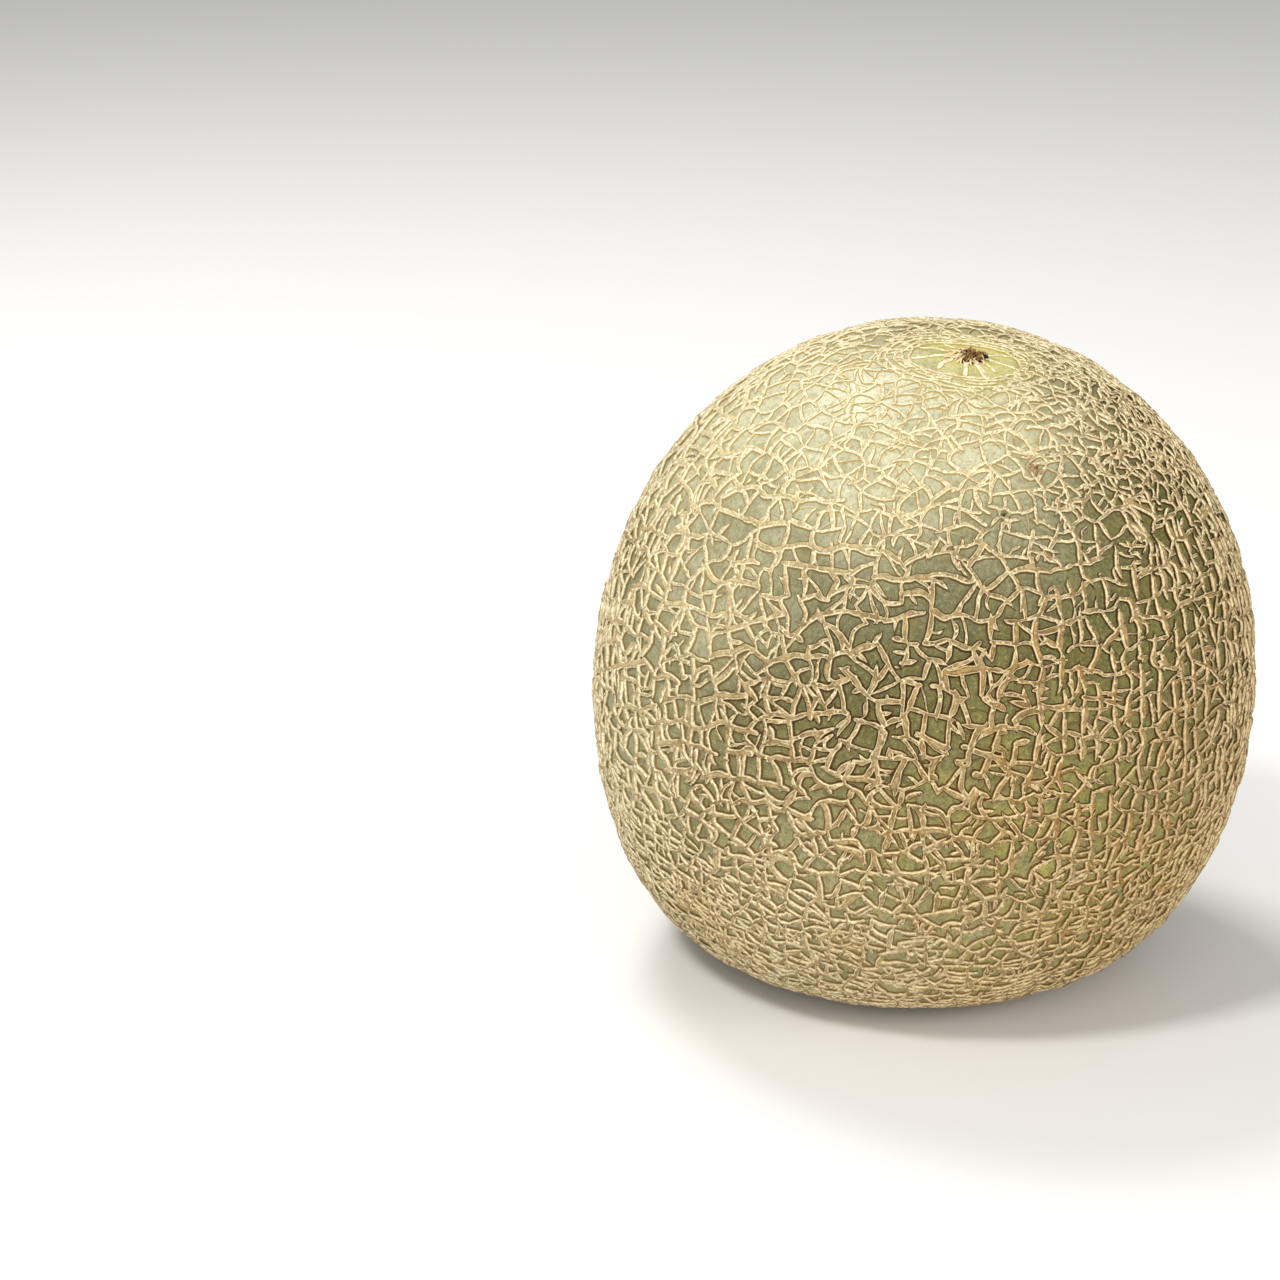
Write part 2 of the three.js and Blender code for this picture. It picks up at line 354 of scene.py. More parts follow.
def cell_size(polar):
    """Length from end to end and width round the fruit of a cell. Near both ends the cells
    are short and wide, so that the net runs round the fruit."""
    near_stem, near_blossom = end_nearness(polar)
    return (
        CELL_LENGTH * (1 - 0.72 * near_stem - 0.5 * near_blossom),
        CELL_WIDTH * (1 + 0.1 * near_stem + 0.35 * near_blossom),
    )


def paired_seeds(chains, scales):
    """Seeds in pairs on both sides of every link of the long cords, so that the borders between
    them lie on the cord. Also the cords' own points, and the room that each keeps clear."""
    pairs, points, rooms = [], [], []
    for start, end, scale in zip(chains["start"], chains["end"], scales):
        along = unit(end - start)
        middle = unit(start + end)
        length, width = (scale * size for size in cell_size(np.arccos(middle @ STEM)))
        down = abs(along @ unit(STEM - (STEM @ middle) * middle)) > 0.7
        step, aside = (1.3 * length, 0.4 * width) if down else (width, 0.45 * length)
        span = np.linalg.norm(end - start) * HALF_WIDTH
        count = max(1, round(span / step))
        line = unit(start + (end - start) * ((np.arange(count) + 0.5) / count)[:, None])
        off = np.cross(middle, along) * aside / HALF_WIDTH
        pairs += [line + off, line - off]
        points.append(unit(start + (end - start) * np.linspace(0, 1, 8)[:, None]))
        rooms.append(np.full(8, aside))
    return unit(np.concatenate(pairs)), np.concatenate(points), np.concatenate(rooms)


def in_parts(count):
    """Row numbers up to a count in blocks of a few hundred, which keeps the tables small."""
    return np.array_split(np.arange(count), count // 300 + 1)


def clear_of(points, others, distances):
    """The points that lie farther from each of the others than that one's distance."""
    nearest = np.cos(distances / HALF_WIDTH)
    clear = [(points[part] @ others.T < nearest).all(axis=1) for part in in_parts(len(points))]
    return points[np.concatenate(clear)]


def apart_by(points, distance):
    """The points without those that lie nearer than a distance to an earlier one."""
    number, nearest = np.arange(len(points)), np.cos(distance / HALF_WIDTH)
    near = [
        ((points[part] @ points.T > nearest) & (number < part[:, None])).any(axis=1)
        for part in in_parts(len(points))
    ]
    return points[~np.concatenate(near)]


def seed_cells(draws, chains, scales):
    """Seeds in jittered rings round the stem axis, and more of them where the net is crowded.
    They give way to the pairs of seeds along the long cords."""
    rings = [STEM[None]]
    polar = BASIN_HALF[1] / STEM_REACH
    last = np.pi - 5.5 / BLOSSOM_REACH
    while polar < last:
        near_stem, near_blossom = end_nearness(polar)
        length, width = cell_size(polar)
        count = max(6, round(2 * np.pi * HALF_WIDTH * np.sin(polar) / width))
        around = draws.uniform(0, 2 * np.pi) + 2 * np.pi * (
            np.arange(count) + draws.uniform(-0.3, 0.3, count)
        ) / count
        calm = 1 - 0.5 * np.maximum(near_stem, near_blossom)
        wander = draws.uniform(-0.48, 0.48, count) * calm * length / HALF_WIDTH
        shift = (0.05 * SIDE + 0.05 * BACK) * near_stem
        rings.append(unit(from_stem(polar + wander, around) + shift))
        polar += length / HALF_WIDTH
    rings.append(-STEM[None])
    for toward, spread, count in CROWDED:
        rings.append(unit(unit(toward) + draws.normal(0, spread * 0.6, (count, 3))))
    seeds = np.concatenate(rings)
    for _ in range(SETTLING):
        corners, pairs, cells = cell_borders(seeds)
        middle = seeds * 1e-3
        for side in (0, 1):
            np.add.at(middle, cells[:, side], corners[pairs[:, 0]] + corners[pairs[:, 1]])
        seeds = unit(seeds + 0.7 * (unit(middle) - seeds))
    pairs, points, rooms = paired_seeds(chains, scales)
    seeds = clear_of(seeds, points, 1.4 * rooms)
    pairs = clear_of(pairs, points, 0.6 * rooms)
    seeds = np.concatenate([seeds, apart_by(pairs, 1.7)])

    # A corner far from its cell's seed stands in a gap of the net, and becomes a seed.
    corners, pairs, cells = cell_borders(seeds)
    numbers, first = np.unique(pairs[:, 0], return_index=True)
    away = np.linalg.norm(corners[numbers] - seeds[cells[first, 0]], axis=1)
    length, width = cell_size(np.arccos(np.clip(corners[numbers] @ STEM, -1, 1)))
    gaps = corners[numbers][away > 0.85 * np.sqrt(length * width) / HALF_WIDTH]
    return np.concatenate([seeds, apart_by(gaps, 3.0)])


def straighten(corners, pairs, draws):
    """Slides each corner, where three borders meet, towards the line through the two that run
    most nearly straight on, so that the third joins them from the side."""
    ends = np.concatenate([pairs, pairs[:, ::-1]])
    ends = ends[np.argsort(ends[:, 0], kind="stable")]
    neighbours = corners[ends[:, 1].reshape(-1, 3)]
    arms = unit(neighbours - corners[:, None])
    cosines = np.stack([dot(arms[:, k], arms[:, (k + 1) % 3]) for k in range(3)], 1)
    best = cosines.argmin(1)
    rows = np.arange(len(corners))
    first, second = neighbours[rows, best], neighbours[rows, (best + 1) % 3]
    line = unit(second - first)
    foot = first + line * dot(corners - first, line)[:, None]
    share = draws.uniform(0.3, 0.95, len(corners))[:, None]
    return unit(corners + (foot - corners) * share)


STROKE_KEYS = ("start", "end", "half", "bend", "tip_start", "tip_end", "groove", "lift")


def strokes(start, end, half, bend=0.0, tip_start=0.0, tip_end=0.0, groove=0.0, lift=1.0):
    """A table of strokes. half is half of the width, bend the sideways bow as a share of the
    length, a tip of 1 runs out to a point, groove opens the middle, and lift is the height as
    a share of a full cord's."""
    count = len(start)
    table = {"start": np.asarray(start, float), "end": np.asarray(end, float)}
    values = (half, bend, tip_start, tip_end, groove, lift)
    for key, value in zip(STROKE_KEYS[2:], values):
        table[key] = np.broadcast_to(np.asarray(value, float), (count,)).copy()
    return table


def joined(tables):
    """Several tables of strokes as one."""
    return {key: np.concatenate([table[key] for table in tables]) for key in STROKE_KEYS}


def only(table, kept):
    """The kept strokes of a table."""
    return {key: value[kept] for key, value in table.items()}


def extended(start, end, length):
    """Moves each end point on past itself by a length, straight away from its start."""
    along = unit(end - start)
    return unit(end + along * (np.asarray(length) / HALF_WIDTH)[..., None])


def cord_half(direction, draws):
    """Half width of a main cord: thick on the front and right, thin near both ends and at the
    upper left."""
    stem_side = closeness(direction, STEM, 0.42)
    smooth_side = closeness(direction, SMOOTH_SIDE, 0.62)
    blossom_side = closeness(direction, -STEM, 0.8)
    base = 0.79 - 0.24 * stem_side - 0.24 * smooth_side - 0.14 * blossom_side
    base -= 0.16 * closeness(direction, SLENDER_SIDE, 0.6)
    return base * draws.lognormal(0, 0.18, len(direction))


# Long cords made of several links: whether they run lengthwise or round the fruit, the angle
# round the stem axis and the polar angle where they begin, how many are tried, the links in
# each, the length of a link, its half width, the size of the cells beside it, and how far it
# leans to the side as a share of its length.
CHAINS = (
    (True, (-1.3, -0.1), (0.7, 1.9), 400, (4, 10), (5, 9), (0.56, 0.84), 0.9, 0.0),
    (True, (-1.85, -1.3), (0.8, 1.8), 50, (1, 4), (4, 8), (0.52, 0.8), 1.05, -0.2),
    (True, (-0.1, 3.0), (0.8, 1.8), 400, (3, 8), (5, 9), (0.54, 0.8), 0.95, 0.0),
    (False, (-3.4, -1.9), (0.72, 1.6), 200, (3, 8), (5, 8), (0.58, 0.82), 1.1, -0.3),
    (False, (-2.7, -1.4), (0.3, 0.72), 60, (2, 5), (4, 7), (0.36, 0.46), 0.9, -0.1),
    (False, (-1.3, 1.2), (0.3, 0.7), 160, (2, 6), (3, 5), (0.44, 0.56), 0.56, 0.0),
    (False, (-3.3, -1.1), (1.8, 2.6), 260, (3, 7), (5, 8), (0.42, 0.56), 0.8, 0.0),
    (False, (-0.4, 3.0), (1.9, 2.6), 260, (3, 7), (5, 8), (0.42, 0.56), 0.85, 0.0),
)


def long_cords(draws):
    """Strokes of the long chains, one link after another, and the size of the cells beside
    each. Chains start on evenly spaced rows. A chain ends where its next link would lie too
    close to another chain."""
    links_made, scales = [], []
    taken = -STEM[None]
    for down, around, polar, number, links, reach, thickness, scale, lean in CHAINS:
        low, high = (-1, 1) if down else np.cos([polar[1] + 0.1, polar[0] - 0.1])
        for _ in range(number):
            turn, tilt = draws.uniform(*around), draws.uniform(*polar)
            spacing = scale * cell_size(tilt)[1 if down else 0] / HALF_WIDTH
            if down:
                slope = lean * (tilt - polar[0])
                turn = slope + spacing * (round((turn - slope) / spacing) + draws.normal(0, 0.1))
            else:
                slope = lean * (turn - around[0])
                tilt = slope + spacing * (round((tilt - slope) / spacing) + draws.normal(0, 0.1))
            begun = len(links_made)
            for _ in range(draws.integers(*links)):
                length = draws.uniform(*reach) / HALF_WIDTH
                drift = lean * length + draws.normal(0, 0.007 if down else 0.014)
                step = (drift, length) if down else (length / np.sin(tilt), drift)
                ends = from_stem([tilt, tilt + step[1]], [turn, turn + step[0]])
                bow = draws.normal(0, 0.04 if down else 0.07)
                half = draws.uniform(*thickness)
                probes = unit(np.stack([ends[0], ends.sum(0), ends[1]]))
                crowded = (taken @ probes.T).max() > np.cos(0.6 * spacing)
                if crowded or not low < (probes[1] @ STEM) < high:
                    break
                start = extended(ends[1:], ends[:1], 1.8 if down else 0.8)
                links_made.append(strokes(start, ends[1:], half, bow, down, down))
                scales.append(scale)
                turn, tilt = turn + step[0], tilt + step[1]
            for link in links_made[begun:]:
                along = link["start"] * [[1], [0.5], [0]] + link["end"] * [[0], [0.5], [1]]
                taken = np.concatenate([taken, unit(along)])
    return joined(links_made), np.array(scales)


def border_cords(start, end, apart, openness, draws):
    """Cords along the borders of the cells, wider where the two cells are large. Some run on
    past their corner and some stop short of it. Also which of them are kept."""
    count = len(start)
    length = np.linalg.norm(end - start, axis=1) * HALF_WIDTH
    over = draws.random((2, count)) < 0.3 * openness
    short = (draws.random((2, count)) < 0.12 * openness) & ~over & (length > 2.5)
    short[1] &= ~short[0]
    reach = np.where(over, draws.uniform(0.8, 3.0, (2, count)), 0)
    reach -= np.where(short, draws.uniform(0.2, 0.5, (2, count)) * length, 0)
    half = cord_half(unit(start + end), draws) * np.clip(apart / 5.0, 0.68, 1.1)
    half = np.minimum(half, 0.11 * length + 0.26)
    bend = draws.normal(0, 0.05, count)
    kept = draws.random(count) > 0.04 * openness
    tips = over | short
    borders = strokes(
        extended(end, start, reach[1]), extended(start, end, reach[0]),
        half, bend, tips[1], tips[0],
        np.where(draws.random(count) < 0.1, draws.uniform(0.4, 1.0, count), 0),
    )
    return borders, kept


def cross_cords(seeds, cells, start, end, draws):
    """Cords across the cells, from one border of a cell to another. Some stop in the open."""
    cell = np.concatenate([cells[:, 0], cells[:, 1]])
    border = np.tile(np.arange(len(start)), 2)
    hub = seeds[cell]
    pole = np.where(np.abs(hub[:, 2:]) < 0.9, [[0, 0, 1.0]], [[1.0, 0, 0]])
    first = unit(np.cross(pole, hub))
    spoke = unit(start + end)[border] - hub
    angle = np.arctan2(dot(spoke, np.cross(hub, first)), dot(spoke, first))
    border = border[np.lexsort((angle, cell))]
    sides = np.bincount(cell, minlength=len(seeds))
    offset = np.concatenate([[0], np.cumsum(sides)[:-1]])

    def border_point(cell_numbers, position):
        """A point on a cell's border, numbered round the cell by a whole number, at a drawn
        share of the border's length."""
        number = border[offset[cell_numbers] + position % sides[cell_numbers]]
        share = draws.uniform(0.25, 0.75, len(number))[:, None]
        return between(start[number], end[number], share)

    numbers = np.arange(len(seeds))
    crosses = []
    for chance, turn, thickness in CROSSED:
        chosen = numbers[draws.random(len(numbers)) < chance]
        count = len(chosen)
        position = draws.integers(0, 3, count) + turn
        one = border_point(chosen, position)
        other = border_point(chosen, position + sides[chosen] // 2)
        half = cord_half(seeds[chosen], draws) * thickness
        half = np.minimum(half, 0.09 * np.linalg.norm(other - one, axis=1) * HALF_WIDTH + 0.16)
        open_side = 0.12 + 0.36 * closeness(seeds[chosen], OPEN_SIDE, OPEN_SPREAD)
        loose = draws.random((2, count)) < open_side
        loose[1] &= ~loose[0]
        pull = draws.uniform(0.12, 0.4, (2, count))
        span = other - one
        one_end = unit(one + span * np.where(loose[0], pull[0], 0)[:, None])
        other_end = unit(other - span * np.where(loose[1], pull[1], 0)[:, None])
        crosses.append(strokes(
            one_end, other_end, half, draws.normal(0, 0.1, count), loose[0], loose[1],
            np.where(draws.random(count) < 0.22, draws.uniform(0.5, 1.0, count), 0),
        ))
    return crosses


def spurs(start, end, half, openness, draws):
    """Short thorns that stand out sideways from the border cords."""
    chosen = np.flatnonzero(draws.random(len(start)) < 0.14 * openness)
    start, end = start[chosen], end[chosen]
    root = between(start, end, draws.uniform(0.2, 0.8, len(chosen))[:, None])
    sideways = unit(np.cross(root, end - start)) * draws.choice([-1, 1], (len(chosen), 1))
    slant = unit(end - start) * draws.normal(0, 0.5, (len(chosen), 1))
    reach = (half[chosen] + draws.uniform(0.4, 1.3, len(chosen)))[:, None] / HALF_WIDTH
    return strokes(root, unit(root + unit(sideways + slant) * reach), 0.34, 0, 0, 1)


def free_of_chains(net, chains):
    """Which strokes don't run close along a long cord, which takes their place."""
    share = np.linspace(0, 1, 8)[:, None, None]
    along = between(chains["start"], chains["end"], share).reshape(-1, 3)
    heading = np.tile(unit(chains["end"] - chains["start"]), (8, 1))
    nearest = np.cos(np.tile(1.5 * chains["half"] + 0.5, 8) / HALF_WIDTH)
    middle = unit(net["start"] + net["end"])
    own = unit(net["end"] - net["start"])
    return np.concatenate([
        ~((np.abs(own[part] @ heading.T) > 0.72) & (middle[part] @ along.T > nearest)).any(axis=1)
        for part in in_parts(len(middle))
    ])


def star_cords():
    """Five short cords that run out from the healed hole, and five that ring it."""
    hole, turn = unit(HEALED_HOLE), np.array(HOLE_CORDS)
    right = unit(np.cross([0, 0, 1.0], hole))
    outward = right * np.cos(turn)[:, None] + np.cross(hole, right) * np.sin(turn)[:, None]
    inner = unit(hole + outward * HOLE_RADIUS / HALF_WIDTH)
    outer = unit(hole + outward * HOLE_CORD_END / HALF_WIDTH)
    ring = strokes(inner, np.roll(inner, -1, axis=0), 0.36, 0.15, 0, 0, 0.7)
    return [strokes(inner, outer, 0.46, 0, 0.0, 1.0, 0.4), ring]


def net_strokes(draws):
    """Every stroke of the net: long cords, cell borders, cross cords, spurs and the star."""
    chains, scales = long_cords(draws)
    seeds = seed_cells(draws, chains, scales)
    corners, pairs, cells = cell_borders(seeds)
    for _ in range(2):
        corners = straighten(corners, pairs, draws)
    start, end = corners[pairs[:, 0]], corners[pairs[:, 1]]
    apart = np.linalg.norm(seeds[cells[:, 0]] - seeds[cells[:, 1]], axis=1) * HALF_WIDTH
    openness = 0.25 + 0.75 * closeness(unit(start + end), OPEN_SIDE, OPEN_SPREAD)
    borders, kept = border_cords(start, end, apart, openness, draws)
    crosses = cross_cords(seeds, cells, start, end, draws)
    thorns = spurs(start, end, borders["half"], openness, draws)
    net = joined([only(borders, kept), *crosses, thorns])
    hole = unit(HEALED_HOLE)
    nearness = np.maximum(net["start"] @ hole, net["end"] @ hole)
    net = only(net, nearness < np.cos(HOLE_ROOM / HALF_WIDTH))
    net = joined([only(net, free_of_chains(net, chains)), chains, *star_cords()])
    return only(net, basin_share(unit(net["start"] + net["end"])) > 1.5)


# Pale ribs that run out over the basin from the scar: three points to the right and back of
# the scar, and half of the width.
BASIN_RIBS = (
    ((-3.2, 0.9), (-9.8, -1.9), (-13.4, -3.2), 0.46),
    ((-3.4, 1.8), (-8.0, 2.8), (-11.6, 2.0), 0.4),
    ((-3.6, -1.6), (-6.9, -4.6), (-8.2, -7.9), 0.5),
    ((-1.3, -3.0), (-1.7, -7.0), (-2.0, -10.9), 0.5),
    ((0.8, -3.0), (1.8, -7.5), (3.0, -10.9), 0.72),
    ((2.6, -2.2), (4.2, -5.0), (5.0, -7.6), 0.34),
    ((3.4, 0.0), (7.5, -2.6), (11.0, -4.6), 0.42),
    ((3.2, 1.4), (6.5, 2.2), (9.4, 1.6), 0.32),
    ((-1.6, 2.8), (-3.5, 4.6), (-5.6, 5.6), 0.4),
)
RIB_THICKNESS = 1.15
COLLAR_RINGS = (1.03, 1.16, 1.3, 1.45, 1.6)  # each as a multiple of the basin's outline
COLLAR_POINTS = 44
COLLAR_TIES = 46  # tried between each ring and the next
BLOSSOM_STROKES = 60
BLOSSOM_RADIUS = 4.6


def on_collar(ring, turn):
    """Directions on a ring of the collar, at an angle round the basin's middle."""
    return by_stem(
        BASIN_MIDDLE[0] + BASIN_HALF[0] * ring * np.cos(turn),
        BASIN_MIDDLE[1] + BASIN_HALF[1] * ring * np.sin(turn),
    )


def basin_strokes(draws):
    """The collar of thin rings round the stem basin, closely tied together at the back and
    right, and the pale ribs inside it."""
    rows = []
    rings = [ring + draws.uniform(-0.022, 0.022, COLLAR_POINTS) for ring in COLLAR_RINGS]
    turn = np.linspace(0, 2 * np.pi, COLLAR_POINTS, endpoint=False)
    for k, ring in enumerate(rings):
        points = on_collar(ring, turn + 0.07 * k)
        whole = draws.random(COLLAR_POINTS) > 0.06
        start, end = points[whole], np.roll(points, -1, axis=0)[whole]
        rows.append(strokes(start, end, draws.uniform(0.3, 0.42, len(start)), lift=0.9))
        if k == 0:
            continue
        ties = draws.uniform(0, 2 * np.pi, COLLAR_TIES)
        behind = 0.5 + 0.5 * np.cos(ties - 0.9)
        ties = ties[draws.random(len(ties)) < 0.3 + 0.7 * behind]
        inner = np.interp(ties, turn, rings[k - 1], period=2 * np.pi)
        outer = np.interp(ties, turn, ring, period=2 * np.pi)
        slant = draws.normal(0, 0.04, len(ties))
        half = draws.uniform(0.26, 0.4, len(ties))
        start, end = on_collar(inner, ties), on_collar(outer, ties + slant)
        rows.append(strokes(start, end, half, lift=0.8))
    for inner, bow, outer, half in BASIN_RIBS:
        points = by_stem(*np.array([inner, bow, outer]).T)
        rows.append(strokes(points[:2], points[1:], RIB_THICKNESS * half, lift=0.4))
    return joined(rows)


def blossom_strokes(draws):
    """The corky disc where the flower fell off: short strokes crowded together."""
    radius = BLOSSOM_RADIUS * np.sqrt(draws.random(BLOSSOM_STROKES)) / BLOSSOM_REACH
    around = draws.uniform(0, 2 * np.pi, BLOSSOM_STROKES)
    hub = from_stem(np.pi - radius, around)
    heading = draws.normal(size=hub.shape) * 0.9 / BLOSSOM_REACH
    return strokes(unit(hub - heading), unit(hub + heading), 0.6, 0, 1, 1, 0, 0.45)


def stroke_samples(table, draws):
    """Discs along every stroke. A stroke is a straight line with a bow, fullest in its middle,
    narrower at its ends and running to a point at its tips. All of them are then shifted by
    one smooth noise, which curves the cords and keeps their meetings together."""
    length = np.linalg.norm(table["end"] - table["start"], axis=1) * HALF_WIDTH
    steps = np.ceil(length / SAMPLE_STEP).astype(int) + 2
    stroke = np.repeat(np.arange(len(steps)), steps)
    number = np.arange(steps.sum()) - np.repeat(np.cumsum(steps) - steps, steps)
    share = number / (steps[stroke] - 1)
    start, end, span = table["start"][stroke], table["end"][stroke], length[stroke]
    point = start * (1 - share)[:, None] + end * share[:, None]
    sideways = np.cross(unit(point), end - start)
    point = unit(point + sideways * (table["bend"][stroke] * 4 * share * (1 - share))[:, None])
    at = point * HALF_WIDTH
    shift = sum(size * waves(at, length, seed) for size, length, seed in CORNER_WAVES)
    point = unit(at + shift * np.clip(basin_share(point) - 0.9, 0.12, 1)[:, None])
    half = table["half"][stroke] * (0.7 + 0.3 * np.sin(np.pi * share))
    half *= 1 + 0.06 * waves(at, 1.6, 14, 1)[:, 0] + 0.1 * waves(at, 4.0, 15, 1)[:, 0]
    taper = np.minimum(np.minimum(2.6, 0.5 * span), 4.5 * table["half"][stroke])
    for tip, from_end in (("tip_start", share), ("tip_end", 1 - share)):
        point_share = np.clip(from_end * span / taper, 0, 1) ** 0.85
        half *= np.where(table[tip][stroke] > 0, point_share, 1)
    tone = draws.random(len(steps))[stroke]
    lift = table["lift"][stroke] * (1 - 0.5 * closeness(point, SMOOTH_SIDE, 0.42))
    kept = half > 0.05
    return {
        "direction": point[kept], "half": half[kept], "groove": table["groove"][stroke][kept],
        "lift": lift[kept], "tone": tone[kept],
    }


# ---- The net's relief ---------------------------------------------------------------------
# Cork cords 1 to 2.3 mm wide that stand up to 0.9 mm proud, with a raised lip along each edge
# and a slightly sunken, rough middle. They are raised on six closed sector pieces.

NET_STEPS = 800
NET_REACH = np.pi / 4 + 0.012  # a little past the next sector's border
NET_TRIANGLES = 138000
SUNK = -0.5  # where the sheet between the cords runs, under the skin
RIM_DROP = -1.2  # where its border runs
HUB_REACH = 30.0  # of the point inside the fruit that closes a sheet
LIP = 0.3  # from a cord's edge to its raised lip
FOOT = 0.06  # height of the foot round a cord, just above the skin; its dark colour is painted shade
SKIRT = (0.18, 0.2)  # width of that foot, and by how much it is wider on one side
WIDE_SHADE_SIDE = (-0.3, -0.93, 0.2)  # that side, where the painted shade round the cords is widest
BANDS = ((0.0, 0.45), (0.45, 0.8), (0.8, 9.0))  # half widths that are painted together
MARGIN = 0.45  # round a disc, as far as its side is painted
MEASURES = ("edge", "half", "groove", "tone")


def smooth_step(share):
    """0 to 1, setting off and ending level."""
    return share * share * (3 - 2 * share)


def cord_height(edge, half, groove, lift, skirt):
    """Height over the skin at a depth inside a cord's edge: a steep side up to the lip, then a
    slight sag to the middle. Outside the edge the side runs on down under the skin."""
    lip = np.minimum(LIP, 0.55 * half)
    rise = np.clip(edge / lip, 0, 1)
    rise = rise * (2 - rise)
    sag = np.clip((edge - lip) / np.maximum(half - lip, 0.05) / 0.7, 0, 1)
    sag = smooth_step(sag) * (0.2 + 0.5 * groove)
    top = (0.28 + 0.94 * half) * lift
    skirt = skirt * np.minimum(1, half / 0.6)
    foot = np.clip((edge + skirt) / 0.08, 0, 1) * FOOT
    outside = np.where(edge > -skirt, foot, np.maximum((edge + skirt) * 1.5, SUNK))
    return np.where(edge > 0, foot + top * rise * (1 - sag), outside)


def on_grid(directions, sector, steps):
    """Column and row of directions on a sector's grid, as numbers that needn't be whole."""
    middle, right, up = sector
    spacing = 2 * NET_REACH / steps
    column = (np.arctan((directions @ right) / (directions @ middle)) + NET_REACH) / spacing
    row = (np.arctan((directions @ up) / (directions @ middle)) + NET_REACH) / spacing
    return column, row


def raise_net(sector, directions, samples):
    """Paints every disc onto the sector's grid, and keeps at each point the greatest depth
    inside a cord's edge, the greatest height, and what the deepest cord is like."""
    steps = directions.shape[0] - 1
    flat = directions.reshape(-1, 3).astype(np.float32)
    near = samples["direction"] @ sector[0] > 0.5
    at = samples["direction"][near]
    column, row = on_grid(at, sector, steps)
    half, groove, lift, tone = (samples[key][near] for key in ("half", "groove", "lift", "tone"))
    # The band of painted shade at each cord's foot is wider on one side.
    skirt = SKIRT[0] + SKIRT[1] * closeness(at, WIDE_SHADE_SIDE, 0.75)
    radius = body_radius(at)
    grid_step = 2 * NET_REACH / steps * HALF_WIDTH
    edge = np.full(len(flat), -1.0, np.float32)
    height = np.full(len(flat), SUNK, np.float32)
    about = {key: np.zeros(len(flat), np.float32) for key in MEASURES[1:]}
    for low, high in BANDS:
        band = np.flatnonzero((half >= low) & (half < high))
        if not len(band):
            continue
        window = int(np.ceil((half[band].max() + 0.42) / (grid_step * 0.78)))
        offset = np.arange(-window, window + 1)
        shift_column, shift_row = (
            grid.ravel() for grid in np.meshgrid(offset, offset, indexing="ij")
        )
        for part in np.array_split(band, max(1, len(band) // 4000)):
            columns = np.round(column[part]).astype(int)[:, None] + shift_column
            rows = np.round(row[part]).astype(int)[:, None] + shift_row
            inside = (columns >= 0) & (columns <= steps) & (rows >= 0) & (rows <= steps)
            target = (columns * (steps + 1) + rows)[inside]
            disc = np.broadcast_to(part[:, None], columns.shape)[inside]
            away = flat[target] - at[disc].astype(np.float32)
            inset = half[disc] - np.sqrt(dot(away, away)) * radius[disc]
            wanted = inset > -MARGIN
            target, disc, inset = target[wanted], disc[wanted], inset[wanted].astype(np.float32)
            np.maximum.at(edge, target, inset)
            raised = cord_height(inset, half[disc], groove[disc], lift[disc], skirt[disc])
            np.maximum.at(height, target, raised.astype(np.float32))
            best = inset >= edge[target]
            for key, values in (("half", half), ("groove", groove), ("tone", tone)):
                about[key][target[best]] = values[disc[best]]
    return {"edge": edge, "height": height, **about}


def rest_share(direction):
    """Share of its full height that the net keeps: none in the middle of the flat that the
    fruit lay on, all of it away from there."""
    down = np.maximum(-direction[..., 2], 1e-3)
    radius = REST_DEPTH * np.hypot(direction[..., 0], direction[..., 1]) / down
    share = np.clip((radius - REST_RADIUS / 2) / (REST_FADE_OUT - REST_RADIUS / 2), 0, 1)
    return np.where(direction[..., 2] < 0, smooth_step(share), 1)


def read_grid(values, column, row):
    """Values of a square grid between its points, by straight-line blending."""
    steps = values.shape[0] - 1
    left = np.clip(np.floor(column).astype(int), 0, steps - 1)
    below = np.clip(np.floor(row).astype(int), 0, steps - 1)
    across, over = np.clip(column - left, 0, 1), np.clip(row - below, 0, 1)
    return (
        values[left, below] * (1 - across) * (1 - over)
        + values[left + 1, below] * across * (1 - over)
        + values[left, below + 1] * (1 - across) * over
        + values[left + 1, below + 1] * across * over
    )


def set_values(mesh, name, values):
    """Gives each point of a mesh a number, which its material reads by name."""
    layer = mesh.attributes.new(name, "FLOAT", "POINT")
    layer.data.foreach_set("value", values.astype(np.float32))


def shade_smooth(mesh):
    """Shades every face of a mesh as part of one smooth surface."""
    mesh.polygons.foreach_set("use_smooth", np.ones(len(mesh.polygons), bool))


def raised_sheet(name, sector, samples, steps):
    """A closed piece: the sector's grid with its cords raised, its border dropped under the
    skin, and a fan from the border to a point inside the fruit. A modifier thins it, so that
    its triangles gather on the cords."""
    directions = sector_directions(sector, steps, NET_REACH)
    relief = raise_net(sector, directions, samples)
    height = relief["height"].reshape(steps + 1, steps + 1)
    height = np.where(height > 0, height * rest_share(directions), height)
    height[[0, -1], :] = RIM_DROP
    height[:, [0, -1]] = RIM_DROP
    points = place(directions, height)
    facing = unit(np.cross(np.gradient(points, axis=0), np.gradient(points, axis=1)))
    relief.update({"facing_" + "xyz"[k]: facing[..., k] for k in range(3)})
    points = points.reshape(-1, 3)
    rim = np.concatenate([
        np.arange(steps) * (steps + 1),
        steps * (steps + 1) + np.arange(steps),
        np.arange(steps, 0, -1) * (steps + 1) + steps,
        np.arange(steps, 0, -1),
    ])
    hub = (MIDDLE + sector[0] * HUB_REACH) * MM
    fan = np.stack([np.roll(rim, -1), rim, np.full(len(rim), len(points))], 1)
    sheet = new_piece(name, np.vstack([points, hub]), grid_quads(steps), fan)
    thin = sheet.modifiers.new("thin", "DECIMATE")
    thin.ratio = min(1.0, NET_TRIANGLES / (2 * steps * steps + len(rim)))
    return sheet, relief


